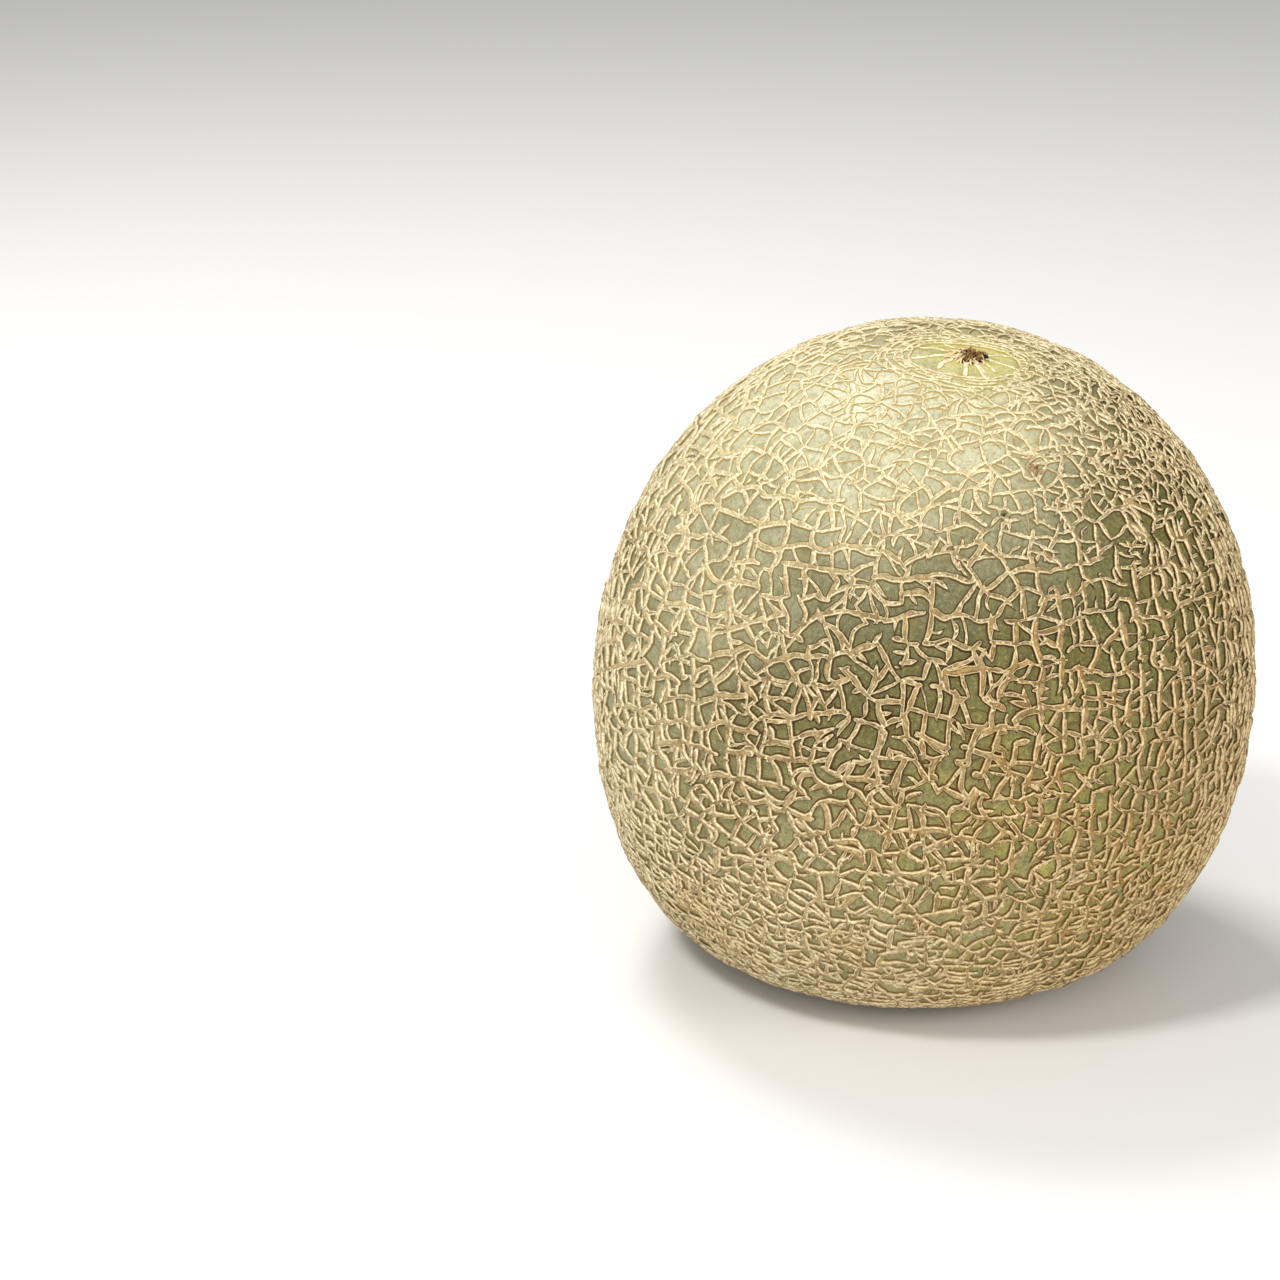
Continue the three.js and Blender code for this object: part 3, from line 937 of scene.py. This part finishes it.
def finish_sheet(sheet, relief, sector, steps):
    """Makes the thinned mesh the piece's own, keeps it over the table, and reads its cord
    measures and the way that it faces back from the grid."""
    view = bpy.context.evaluated_depsgraph_get()
    finished = bpy.data.meshes.new_from_object(sheet.evaluated_get(view))
    rough = sheet.data
    sheet.modifiers.clear()
    sheet.data = finished
    bpy.data.meshes.remove(rough)
    finished.name = sheet.name
    points = np.empty(len(finished.vertices) * 3, np.float32)
    finished.vertices.foreach_get("co", points)
    points[2::3] = np.maximum(points[2::3], 0)
    finished.vertices.foreach_set("co", points)
    direction = unit(points.reshape(-1, 3) / MM - MIDDLE)
    column, row = on_grid(direction, sector, steps)
    for key in MEASURES:
        grid = relief[key].reshape(steps + 1, steps + 1)
        set_values(finished, key, read_grid(grid, column, row))
    shade_smooth(finished)
    facing = np.stack([read_grid(relief["facing_" + k], column, row) for k in "xyz"], 1)
    outer = direction @ sector[0] > 0.5
    finished.normals_split_custom_set_from_vertices(np.where(outer[:, None], unit(facing), 0))


draws = np.random.default_rng(SEED)
net_table = joined([net_strokes(draws), basin_strokes(draws), blossom_strokes(draws)])
net_samples = stroke_samples(net_table, draws)
net_steps = NET_STEPS
sheets = {
    name: raised_sheet("net_" + name, sector, net_samples, net_steps)
    for name, sector in SECTORS.items()
}
bpy.context.view_layer.update()
for name, (sheet, relief) in sheets.items():
    finish_sheet(sheet, relief, SECTORS[name], net_steps)


def feed(tree, socket, value):
    """Sets an input to a value, or joins it to an output."""
    if isinstance(value, bpy.types.NodeSocket):
        tree.links.new(value, socket)
    else:
        socket.default_value = value


def node(tree, kind, settings=None, **inputs):
    """A shader node with its settings and inputs. An input is given by its name, or as i and
    its number."""
    made = tree.nodes.new(kind)
    for key, value in (settings or {}).items():
        setattr(made, key, value)
    for key, value in inputs.items():
        numbered = key[0] == "i" and key[1:].isdigit()
        feed(tree, made.inputs[int(key[1:]) if numbered else key.replace("_", " ")], value)
    return made


def screen(red, green, blue):
    """A colour given as it looks on screen, from 0 to 255, in the linear light that shaders use."""
    share = np.array([red, green, blue]) / 255
    linear = np.where(share <= 0.04045, share / 12.92, ((share + 0.055) / 1.055) ** 2.4)
    return (*linear.tolist(), 1.0)


def blend(tree, share, under, over, mode="MIX"):
    """Colour output that mixes over into under by a share."""
    mix = node(tree, "ShaderNodeMix", {"data_type": "RGBA", "blend_type": mode}, i0=share)
    feed(tree, mix.inputs[6], under)
    feed(tree, mix.inputs[7], over)
    return mix.outputs[2]


def ramp(tree, value, low, high, out_low=0.0, out_high=1.0):
    """Smooth step of a value from low to high."""
    made = node(
        tree, "ShaderNodeMapRange", {"interpolation_type": "SMOOTHSTEP"},
        i0=value, i1=low, i2=high, i3=out_low, i4=out_high,
    )
    return made.outputs[0]


def math(tree, operation, first, second=0.0):
    """Output of one arithmetic node."""
    return node(tree, "ShaderNodeMath", {"operation": operation}, i0=first, i1=second).outputs[0]


def times(tree, first, *others):
    """Product of several values."""
    for other in others:
        first = math(tree, "MULTIPLY", first, other)
    return first


def coats(tree, colour, *layers):
    """A colour under several coats. Each coat is a tint, as it looks on screen from 0 to 255,
    and the shares whose product is how much it covers."""
    for tint, *shares in layers:
        colour = blend(tree, times(tree, *shares), colour, screen(*tint))
    return colour


def noise(tree, coordinates, scale, detail=3.0, roughness=0.55):
    """Noise per metre, as a value round 0.5."""
    made = node(
        tree, "ShaderNodeTexNoise", {},
        Vector=coordinates, Scale=scale, Detail=detail, Roughness=roughness,
    )
    return made.outputs[0]


def frayed(tree, coordinates, scale, detail, size):
    """Coordinates shifted to and fro in metres by a noise, which frays what they are used for."""
    fray = node(tree, "ShaderNodeTexNoise", {}, Vector=coordinates, Scale=scale, Detail=detail)
    fray = node(
        tree, "ShaderNodeVectorMath", {"operation": "SCALE"}, i0=fray.outputs[1], Scale=size
    )
    shifted = node(
        tree, "ShaderNodeVectorMath", {"operation": "ADD"}, i0=coordinates, i1=fray.outputs[0]
    )
    return shifted.outputs[0]


# Parts of the fruit that differ in colour, as spots: direction from the middle, radius in
# metres, strength. Bleached at the upper left, Ripe in yellow patches, Basin round the scar,
# Green in front, Khaki low down, Earthy where soil stayed in the net, Rusty on two small
# scabs, Warm where the cork is orange, Creamy where it is pale, Hollow in the healed hole.
REGIONS = {
    "Bleached": (
        ((-0.4, -0.25, 0.87), 0.045, 1.0), ((-0.22, -0.46, 0.86), 0.04, 1.0),
        ((0.0, -0.45, 0.9), 0.036, 1.0), ((-0.02, -0.56, 0.83), 0.022, 0.85),
        ((0.05, 0.05, 1.0), 0.035, 0.5), ((-0.6, -0.55, 0.5), 0.03, 0.7),
        ((-0.95, -0.25, 0.1), 0.05, 0.5), ((-0.5, 0.5, 0.7), 0.06, 0.7),
        # This weak spot low on the front lightens skin and cork partly as painted light from the
        # table below.
        ((-0.3, -0.75, -0.6), 0.05, 0.35),
    ),
    "Ripe": (
        ((-0.62, -0.57, -0.54), 0.01, 0.8), ((-0.26, -0.81, -0.52), 0.009, 0.8),
        ((0.19, -0.95, -0.23), 0.035, 0.6), ((0.3, -0.75, -0.55), 0.04, 0.6),
        ((0.1, 0.9, -0.4), 0.05, 0.7),
    ),
    "Basin": (((0.075, -0.2, 0.98), 0.013, 1.0),),
    "Green": (
        ((-0.05, -0.89, 0.45), 0.05, 0.9), ((0.5, -0.78, 0.4), 0.05, 0.3),
        # The spot at (-0.4, -0.83, 0.4) darkens the skin at the mid-left as painted shade.
        ((-0.4, -0.83, 0.4), 0.036, 1.0), ((0.9, -0.3, 0.2), 0.06, 0.2),
        ((0.2, 0.95, 0.3), 0.07, 0.8),
    ),
    "Khaki": (
        ((0.2, -0.85, -0.5), 0.07, 0.9), ((0.85, -0.5, 0.1), 0.075, 0.35),
        ((0.62, -0.62, -0.45), 0.055, 1.0), ((-0.5, -0.7, -0.5), 0.05, 0.7),
        ((0.0, 0.5, -0.85), 0.06, 0.8),
    ),
    "Earthy": (
        ((-0.49, -0.85, 0.19), 0.022, 1.0), ((-0.31, -0.91, 0.27), 0.014, 0.9),
        ((0.7, 0.6, 0.1), 0.03, 0.8),
    ),
    "Rusty": (((0.228, -0.573, 0.788), 0.0021, 1.0), ((0.205, -0.555, 0.808), 0.0014, 0.8)),
    "Warm": (
        ((-0.62, -0.57, -0.54), 0.01, 1.0), ((-0.26, -0.81, -0.52), 0.009, 1.0),
        ((0.33, -0.9, 0.0), 0.07, 1.0), ((0.25, -0.8, -0.5), 0.05, 0.7),
        ((0.2, 0.9, 0.0), 0.06, 0.8),
    ),
    "Creamy": (
        ((-0.6, -0.7, 0.35), 0.085, 1.0), ((0.1, -0.45, 0.88), 0.075, 1.0),
        ((-0.3, 0.5, 0.8), 0.08, 1.0),
    ),
    "Hollow": ((HEALED_HOLE, 0.0012, 0.9),),
}
SMALL_SPOT = 0.005  # radius in metres under which a spot has a finely ragged edge
WARM_LEAST = 0.3  # of the warm cork's uneven patches, all over the fruit


def region_group():
    """Node group with a mask for each region: how near a point lies to the region's spots,
    measured with frayed coordinates."""
    group = bpy.data.node_groups.new("fruit_regions", "ShaderNodeTree")
    for name in REGIONS:
        group.interface.new_socket(name, in_out="OUTPUT", socket_type="NodeSocketFloat")
    exit_node = node(group, "NodeGroupOutput")
    coordinates = node(group, "ShaderNodeTexCoord").outputs["Object"]
    shifted = frayed(group, coordinates, 28.0, 2.0, 0.03)
    ragged = frayed(group, coordinates, 650.0, 3.0, 0.003)
    uneven = ramp(group, noise(group, coordinates, 60.0), 0.36, 0.6)
    for name, spots in REGIONS.items():
        total = 0.0
        for toward, spread, strength in spots:
            direction = unit(toward)
            spot = (direction * body_radius(direction) + MIDDLE) * MM
            frayed_by, mean_shift = (ragged, 0.0015) if spread < SMALL_SPOT else (shifted, 0.015)
            away = node(
                group, "ShaderNodeVectorMath", {"operation": "DISTANCE"},
                i0=frayed_by, i1=(spot + mean_shift).tolist(),
            ).outputs["Value"]
            mask = ramp(group, away, spread * 1.5, spread * 0.25, 0.0, strength)
            total = math(group, "MAXIMUM", mask, total)
        if name == "Warm":
            total = times(group, math(group, "MAXIMUM", total, WARM_LEAST), uneven)
        group.links.new(total, exit_node.inputs[name])
    return group


regions = region_group()


def new_finish(name, roughness):
    """A new material, with its node tree, its shader and the Object coordinates."""
    material = bpy.data.materials.new(name)
    material.use_nodes = True
    tree = material.node_tree
    shader = tree.nodes["Principled BSDF"]
    shader.inputs["Roughness"].default_value = roughness
    return material, tree, shader, node(tree, "ShaderNodeTexCoord").outputs["Object"]


def fruit_masks(tree):
    """The regions' masks, by name."""
    return node(tree, "ShaderNodeGroup", {"node_tree": regions}).outputs


def measure(tree, name):
    """A number that the mesh gives each point."""
    return node(tree, "ShaderNodeAttribute", {"attribute_name": name}).outputs["Fac"]


def roughen(tree, shader, height, strength, distance):
    """Fine bumps on a material, by a height and its size in metres."""
    bump = node(tree, "ShaderNodeBump", {}, Strength=strength, Distance=distance, Height=height)
    tree.links.new(bump.outputs[0], shader.inputs["Normal"])


def cork_material():
    """Healed cork: cream lips with a thin dark brown line inside them that is partly painted shade,
    a browner speckled middle, yellow where cords meet, a line of painted shade at the foot, and
    dark gaps in the young cracks."""
    material, tree, shader, coordinates = new_finish("cork_net", 0.75)
    masks = fruit_masks(tree)
    edge, half, groove, tone = (measure(tree, key) for key in MEASURES)

    def grains(scale, low, high, detail=3.0, roughness=0.55, out_low=0.0, out_high=1.0):
        """Smooth step of a noise per metre."""
        value = noise(tree, coordinates, scale, detail, roughness)
        return ramp(tree, value, low, high, out_low, out_high)

    ragged = math(tree, "SUBTRACT", noise(tree, coordinates, 1500.0), 0.5)
    ragged = times(tree, ragged, 0.35)
    share = math(tree, "DIVIDE", edge, math(tree, "MAXIMUM", half, 0.12))
    share = math(tree, "ADD", share, ragged)
    lip = math(tree, "MINIMUM", times(tree, half, 0.46), 0.25)
    inward = math(tree, "DIVIDE", edge, math(tree, "MAXIMUM", lip, 0.07))
    inward = math(tree, "ADD", inward, ragged)

    lip_colour = coats(
        tree, screen(218, 195, 148),
        ((242, 225, 183), masks["Creamy"]),
        ((251, 241, 207), masks["Bleached"]),
        ((226, 196, 138), masks["Ripe"], 0.5),
    )
    dull = coats(tree, screen(146, 122, 80), ((180, 154, 110), tone))
    creamy = coats(tree, screen(184, 163, 116), ((210, 189, 144), tone))
    pale = math(tree, "MAXIMUM", times(tree, masks["Bleached"], 0.85), masks["Basin"])
    body_colour = coats(
        tree, blend(tree, times(tree, masks["Creamy"], 0.85), dull, creamy),
        ((190, 146, 76), masks["Warm"], 0.6),
        ((236, 218, 170), pale),
        ((80, 58, 28), grains(2600.0, 0.52, 0.7, 2.0), 0.6),
        ((226, 205, 165), grains(2100.0, 0.6, 0.72, 2.0, 0.6), 0.15),
        ((206, 166, 96), ramp(tree, edge, 0.75, 1.15), 0.4),
    )
    colour = blend(tree, ramp(tree, inward, 0.85, 1.15), lip_colour, body_colour)
    # A broken dark brown line just inside each lip, where the middle starts to sag: partly the
    # cork's own brown and partly painted shade in that crease, fainter where the cork is bleached.
    seam_shade = times(
        tree, ramp(tree, inward, 0.85, 1.1), ramp(tree, inward, 2.2, 1.6),
        ramp(tree, masks["Bleached"], 0.0, 1.0, 0.65, 0.12),
        grains(380.0, 0.36, 0.6, 3.0, 0.6, 0.15, 1.0),
    )
    gap = times(tree, ramp(tree, share, 0.5, 0.85), groove)
    soil = times(tree, masks["Earthy"], ramp(tree, share, 0.75, 0.95))
    dirt = math(tree, "MAXIMUM", gap, soil)
    colour = coats(
        tree, colour,
        ((108, 80, 38), seam_shade),
        ((74, 62, 30), dirt, grains(420.0, 0.4, 0.58), 0.85),
    )
    grit = grains(1300.0, 0.38, 0.62, 4.0, 0.75, 0.68, 1.1)
    colour = coats(
        tree, blend(tree, 1.0, colour, grit, "MULTIPLY"),
        ((126, 66, 30), masks["Rusty"], grains(900.0, 0.4, 0.52)),
        ((40, 34, 14), masks["Hollow"], 0.6),
    )
    # Painted shade: a dark line round each cord's foot, browner low on the right and paler at the
    # upper left and in the basin.
    foot_shade_colour = coats(
        tree, screen(48, 36, 10),
        ((104, 68, 24), masks["Khaki"]),
        ((176, 154, 98), masks["Bleached"]),
        ((178, 168, 96), masks["Basin"]),
    )
    colour = blend(tree, ramp(tree, edge, 0.11, 0.02), colour, foot_shade_colour)
    tree.links.new(colour, shader.inputs["Base Color"])
    shader.inputs["Specular IOR Level"].default_value = 0.15
    roughen(tree, shader, noise(tree, coordinates, 1900.0, 4.0, 0.65), 0.5, 0.0003)
    return material


cork = cork_material()
for piece, relief in sheets.values():
    piece.data.materials.append(cork)
    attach(piece, "root")
    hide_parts("melon")


# ---- The young cracks ----------------------------------------------------------------------
# Hair-fine cracks that cross the open cells: a dark gap between two thin pale lips, hardly
# raised, their ends lost under the cords.

CRACKS = 720  # tried, one to a cell
CRACK_SECTIONS = 7
CRACK_PROFILE = (  # across as a share of the half width, up, darkness
    (-1.0, -0.12, 1.0), (-0.66, 0.07, 1.0), (-0.42, 0.11, 0.0),
    (0.42, 0.11, 0.0), (0.66, 0.07, 1.0), (1.0, -0.12, 1.0), (0.0, -0.3, 1.0),
)


def tube_quads(count, sections, sides):
    """Corner numbers of the quads of many tubes, whose points are numbered round a section,
    then along the tube, then tube after tube."""
    ring = np.arange(sides)
    following = np.roll(ring, -1)
    base = (np.arange(count) * sections * sides)[:, None, None]
    base = base + (np.arange(sections - 1) * sides)[None, :, None]
    quads = [base + following, base + ring, base + sides + ring, base + sides + following]
    return np.stack(quads, -1).reshape(-1, 4)


def young_cracks(draws):
    """Closed slivers. Each follows a slightly bowed line over the skin; its cross section is
    two lips with a gap between them, and its width falls to nothing at the ends."""
    net_draws = np.random.default_rng(SEED)
    seeds = seed_cells(net_draws, *long_cords(net_draws))
    hub = seeds[draws.choice(len(seeds), CRACKS, replace=False)]
    hub = unit(hub + draws.normal(0, 0.012, hub.shape))
    hub = hub[basin_share(hub) > 1.9]
    count = len(hub)
    heading = draws.normal(size=hub.shape)
    heading = unit(heading - dot(heading, hub)[:, None] * hub)
    sideways = np.cross(hub, heading)
    reach = draws.uniform(2.2, 4.0, count) * np.where(hub @ -STEM > 0.6, 0.7, 1)
    bow = draws.normal(0, 0.5, count)
    half = draws.uniform(0.24, 0.42, count)
    share = np.linspace(-1, 1, CRACK_SECTIONS)[None, :, None]
    across, up, dark = (np.array(column) for column in zip(*CRACK_PROFILE))
    width = half[:, None, None] * np.sqrt(np.clip(1.02 - share**2, 0.02, 1)) * across
    width = width + bow[:, None, None] * (1 - share**2)
    along = (share * reach[:, None, None] + 0 * width)[..., None]
    direction = unit(
        hub[:, None, None] * HALF_WIDTH
        + heading[:, None, None] * along
        + sideways[:, None, None] * width[..., None]
    )
    sides = len(across)
    tube = place(direction, np.broadcast_to(up, width.shape)).reshape(-1, 3)
    starts = (np.arange(count) * CRACK_SECTIONS * sides)[:, None]
    ends = starts + (CRACK_SECTIONS - 1) * sides
    caps = []
    for fan in range(1, sides - 1):
        caps += [starts + np.array([0, fan, fan + 1]), ends + np.array([0, fan + 1, fan])]
    quads = tube_quads(count, CRACK_SECTIONS, sides)
    cracks = new_piece("young_cracks", tube, quads, np.concatenate(caps))
    set_values(cracks.data, "dark", np.tile(dark, count * CRACK_SECTIONS))
    return cracks


def crack_material():
    """A pale thread of stretched skin between two fine dark edges."""
    material, tree, shader, coordinates = new_finish("young_cork", 0.7)
    masks = fruit_masks(tree)
    lip = coats(tree, screen(100, 95, 50), ((206, 201, 160), masks["Bleached"]))
    gap = coats(
        tree, screen(36, 26, 6),
        ((92, 60, 22), masks["Warm"]),
        ((176, 160, 106), masks["Bleached"]),
    )
    worn = ramp(tree, noise(tree, coordinates, 600.0, 2.0), 0.3, 0.6, 0.85, 1.0)
    dark = ramp(tree, measure(tree, "dark"), 0.25, 0.75)
    colour = blend(tree, times(tree, dark, worn), lip, gap)
    tree.links.new(colour, shader.inputs["Base Color"])
    shader.inputs["Specular IOR Level"].default_value = 0.2
    return material


cracks = young_cracks(np.random.default_rng(SEED + 1))
cracks.data.materials.append(crack_material())
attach(cracks, "root")


# ---- The skin between the cords -----------------------------------------------------------
# Smooth, faintly glossy grey-green skin with fine pale specks, paler at the upper left and
# yellower low on the right. It is one closed surface that the cords stand out of.

SKIN_STEPS = 60  # of each sector's grid


def skin_surface(steps):
    """All six sectors at the height of the skin, with their shared borders made one."""
    grids = [sector_directions(sector, steps, np.pi / 4) for sector in SECTORS.values()]
    directions = np.concatenate([grid.reshape(-1, 3) for grid in grids])
    quads = np.concatenate([grid_quads(steps) + k * (steps + 1) ** 2 for k in range(len(grids))])
    _, first, number = np.unique(
        np.round(directions, 6), axis=0, return_index=True, return_inverse=True
    )
    return directions[first], number.reshape(-1)[quads]


skin_directions, skin_quads = skin_surface(SKIN_STEPS)
skin = new_piece("skin", place(skin_directions, np.zeros(len(skin_directions))), skin_quads)
shade_smooth(skin.data)


def skin_material():
    """Waxy melon skin with pale specks, mottling and a thin gloss."""
    material, tree, shader, coordinates = new_finish("melon_skin", 0.5)
    masks = fruit_masks(tree)

    def grains(scale, low, high, detail=3.0, roughness=0.55, at=coordinates):
        """Smooth step of a noise per metre."""
        return ramp(tree, noise(tree, at, scale, detail, roughness), low, high)

    upright = node(
        tree, "ShaderNodeVectorMath", {"operation": "MULTIPLY"}, i0=coordinates, i1=(1.0, 1.0, 0.2)
    ).outputs[0]
    colour = coats(
        tree, screen(92, 88, 38),
        ((64, 62, 18), masks["Green"]),
        ((138, 131, 80), masks["Khaki"]),
        ((205, 201, 168), masks["Bleached"]),
        ((202, 194, 124), masks["Basin"]),
        ((168, 156, 78), masks["Ripe"], grains(150.0, 0.44, 0.6, 2.0)),
        ((116, 112, 62), grains(130.0, 0.4, 0.62), 0.35),  # mottle
        ((112, 104, 54), grains(1100.0, 0.5, 0.66, 2.0, at=upright), 0.3),  # streaks
        ((186, 186, 140), grains(1700.0, 0.57, 0.68, 3.0, 0.7), 0.4),  # specks
        ((70, 64, 22), grains(1900.0, 0.53, 0.66, 4.0, 0.75), 0.45),  # pits
        ((132, 108, 44), grains(210.0, 0.56, 0.72, 4.0, 0.6), 0.4),  # stains
    )
    mealy = ramp(tree, noise(tree, coordinates, 1000.0, 5.0, 0.8), 0.38, 0.62, 0.72, 1.24)
    smooth = ramp(tree, masks["Bleached"], 0.0, 1.0, 1.0, 0.3)
    colour = blend(tree, smooth, colour, blend(tree, 1.0, colour, mealy, "MULTIPLY"))
    colour = coats(tree, colour, ((34, 32, 12), masks["Hollow"]))
    tree.links.new(colour, shader.inputs["Base Color"])
    gloss = ramp(tree, masks["Bleached"], 0.0, 1.0, 0.55, 0.4)
    tree.links.new(gloss, shader.inputs["Roughness"])
    shader.inputs["Specular IOR Level"].default_value = 0.25
    roughen(tree, shader, noise(tree, coordinates, 900.0), 0.25, 0.0003)
    return material


skin.data.materials.append(skin_material())
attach(skin, "root")
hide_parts("melon")


# ---- The stem scar ------------------------------------------------------------------------
# Where the ripe fruit slipped off its vine: a low crumbling plug of dead stem tissue, 7 mm across,
# pitted dark brown and darker the lower it lies, partly as painted shade in its hollows, with dry
# tan fibres spread round it, most of them on the left.

SCAR_RADIUS = 3.5
SCAR_HEIGHT = 1.8
SCAR_RINGS = 40
SCAR_SPOKES = 110
SCAR_ROOT = -2.0  # height of the point that closes the plug below
FIBRES = 90
FIBRE_SECTIONS = 9
FIBRE_SIDES = 5
FIBRE_SEED = 77


def scar_plug():
    """A closed rough button: rings of points round the scar, at a height that falls to below
    the skin at the edge and is broken up by noise, closed by a point on top and one under."""
    share = (np.arange(SCAR_RINGS) + 0.6) / SCAR_RINGS
    turn = 2 * np.pi * np.arange(SCAR_SPOKES) / SCAR_SPOKES
    share, turn = np.meshgrid(share, turn, indexing="ij")
    lobes = 1 + 0.16 * np.sin(3 * turn + 1) + 0.1 * np.sin(5 * turn) + 0.05 * np.sin(11 * turn)
    edge = SCAR_RADIUS * lobes
    right, back = share * edge * np.cos(turn), share * edge * np.sin(turn)
    at = np.stack([right, back, 0 * right], -1)
    rough = 0.5 * waves(at, 1.5, 31, 1)[..., 0] + 0.32 * waves(at, 0.6, 32, 1)[..., 0]
    height = SCAR_HEIGHT * (0.5 + 0.5 * rough) * np.clip((1 - share**3) * 1.7, 0, 1)
    height -= 0.4 * share**8
    height -= 0.5 * np.exp(-((np.hypot(right - 0.4, back + 0.3) / 0.8) ** 2))
    points = place(by_stem(right, back), height).reshape(-1, 3)
    top = place(by_stem(0, 0)[None], np.array([height[0].mean()]))
    under = place(by_stem(0, 0)[None], np.array([SCAR_ROOT]))
    ring = np.arange(SCAR_SPOKES)
    following = np.roll(ring, -1)
    first = np.arange(SCAR_RINGS - 1)[:, None] * SCAR_SPOKES
    second = first + SCAR_SPOKES
    quads = np.stack(
        [first + ring, second + ring, second + following, first + following], -1
    ).reshape(-1, 4)
    last = (SCAR_RINGS - 1) * SCAR_SPOKES
    count = len(points)
    caps = np.concatenate([
        np.stack([ring, following, np.full(SCAR_SPOKES, count)], 1),
        np.stack([last + following, last + ring, np.full(SCAR_SPOKES, count + 1)], 1),
    ])
    plug = new_piece("stem_scar", np.vstack([points, top, under]), quads, caps)
    # Darker the lower a point lies: the dead tissue's dark pits, and partly painted shade in the
    # hollows.
    dark_pits_and_shade = np.concatenate([np.clip(0.9 - height.ravel() / SCAR_HEIGHT, 0, 1), [1, 1]])
    set_values(plug.data, "dark_pits_and_shade", dark_pits_and_shade)
    shade_smooth(plug.data)
    return plug


def scar_fibres(draws):
    """Dry fibres: tapered tubes along bowed lines that leave the plug outwards and bend down to
    the skin, closed by a point at each end. More of them run to the left."""
    around = draws.vonmises(2.9, 0.9, FIBRES)
    inner = draws.uniform(1.2, 3.4, FIBRES)
    length = draws.uniform(1.1, 3.4, FIBRES) * np.where(np.cos(around) < 0, 1.15, 0.75)
    heading = around + draws.normal(0, 0.5, FIBRES)
    rise = draws.uniform(0.1, 0.9, FIBRES)
    start_height = draws.uniform(0.2, 1.5, FIBRES) * np.clip(1.3 - inner / 4.2, 0.2, 1)
    thick = draws.uniform(0.1, 0.22, FIBRES)
    share = np.linspace(0, 1, FIBRE_SECTIONS)[None, :]
    run = share * length[:, None]
    curl = heading[:, None] + draws.normal(0, 0.5, (FIBRES, 1)) * share
    right = (inner * np.cos(around))[:, None] + run * np.cos(curl)
    back = (inner * np.sin(around))[:, None] + run * np.sin(curl)
    height = start_height[:, None] * (1 - share) ** 1.5 + rise[:, None] * 2.4 * share * (1 - share)
    height = height + 0.08
    width = thick[:, None] * np.sqrt(np.clip(4 * share * (1.08 - share), 0, 1)) + 0.02
    angle = 2 * np.pi * np.arange(FIBRE_SIDES) / FIBRE_SIDES
    aside = width[..., None] * np.cos(angle)
    over = width[..., None] * 0.75 * np.sin(angle)
    tube = place(
        by_stem(
            right[..., None] - np.sin(curl)[..., None] * aside,
            back[..., None] + np.cos(curl)[..., None] * aside,
        ),
        height[..., None] + over,
    ).reshape(-1, 3)
    tips = place(by_stem(right[:, [0, -1]], back[:, [0, -1]]), height[:, [0, -1]]).reshape(-1, 3)
    ring = np.arange(FIBRE_SIDES)
    following = np.roll(ring, -1)
    starts = np.arange(FIBRES)[:, None] * FIBRE_SECTIONS * FIBRE_SIDES
    ends = starts + (FIBRE_SECTIONS - 1) * FIBRE_SIDES
    tip = len(tube) + 2 * np.arange(FIBRES)[:, None] + 0 * ring
    first_caps = np.stack([starts + following, starts + ring, tip], -1)
    last_caps = np.stack([ends + ring, ends + following, tip + 1], -1)
    caps = np.concatenate([first_caps.reshape(-1, 3), last_caps.reshape(-1, 3)])
    quads = tube_quads(FIBRES, FIBRE_SECTIONS, FIBRE_SIDES)[:, [1, 0, 3, 2]]
    fibres = new_piece("stem_fibres", np.vstack([tube, tips]), quads, caps)
    shade = 0.25 + 0.75 * draws.random(FIBRES) * np.where(np.cos(around) > 0.2, 0.4, 1)
    shades = [np.repeat(shade, FIBRE_SECTIONS * FIBRE_SIDES), np.repeat(shade, 2)]
    set_values(fibres.data, "shade", np.concatenate(shades))
    shade_smooth(fibres.data)
    return fibres


def scar_material(name, attribute, low_colour, high_colour, spread):
    """Dead, dull plant fibre between two colours, by a number that the mesh gives each point,
    varied by a fine noise."""
    material, tree, shader, coordinates = new_finish(name, 0.85)
    value = measure(tree, attribute)
    grain = noise(tree, coordinates, 1100.0, 3.0, 0.65)
    shift = times(tree, math(tree, "SUBTRACT", grain, 0.5), spread)
    shifted = math(tree, "ADD", value, shift)
    colour = blend(tree, ramp(tree, shifted, 0.15, 0.5), low_colour, high_colour)
    tree.links.new(colour, shader.inputs["Base Color"])
    roughen(tree, shader, grain, 0.8, 0.0004)
    return material


scar = scar_plug()
scar.data.materials.append(
    scar_material("dead_stem", "dark_pits_and_shade", screen(152, 112, 60), screen(18, 10, 4), 2.6)
)
fibres = scar_fibres(np.random.default_rng(FIBRE_SEED))
fibres.data.materials.append(
    scar_material("dry_fibre", "shade", screen(112, 80, 42), screen(240, 214, 166), 0.9)
)
for piece in (scar, fibres):
    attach(piece, "root")
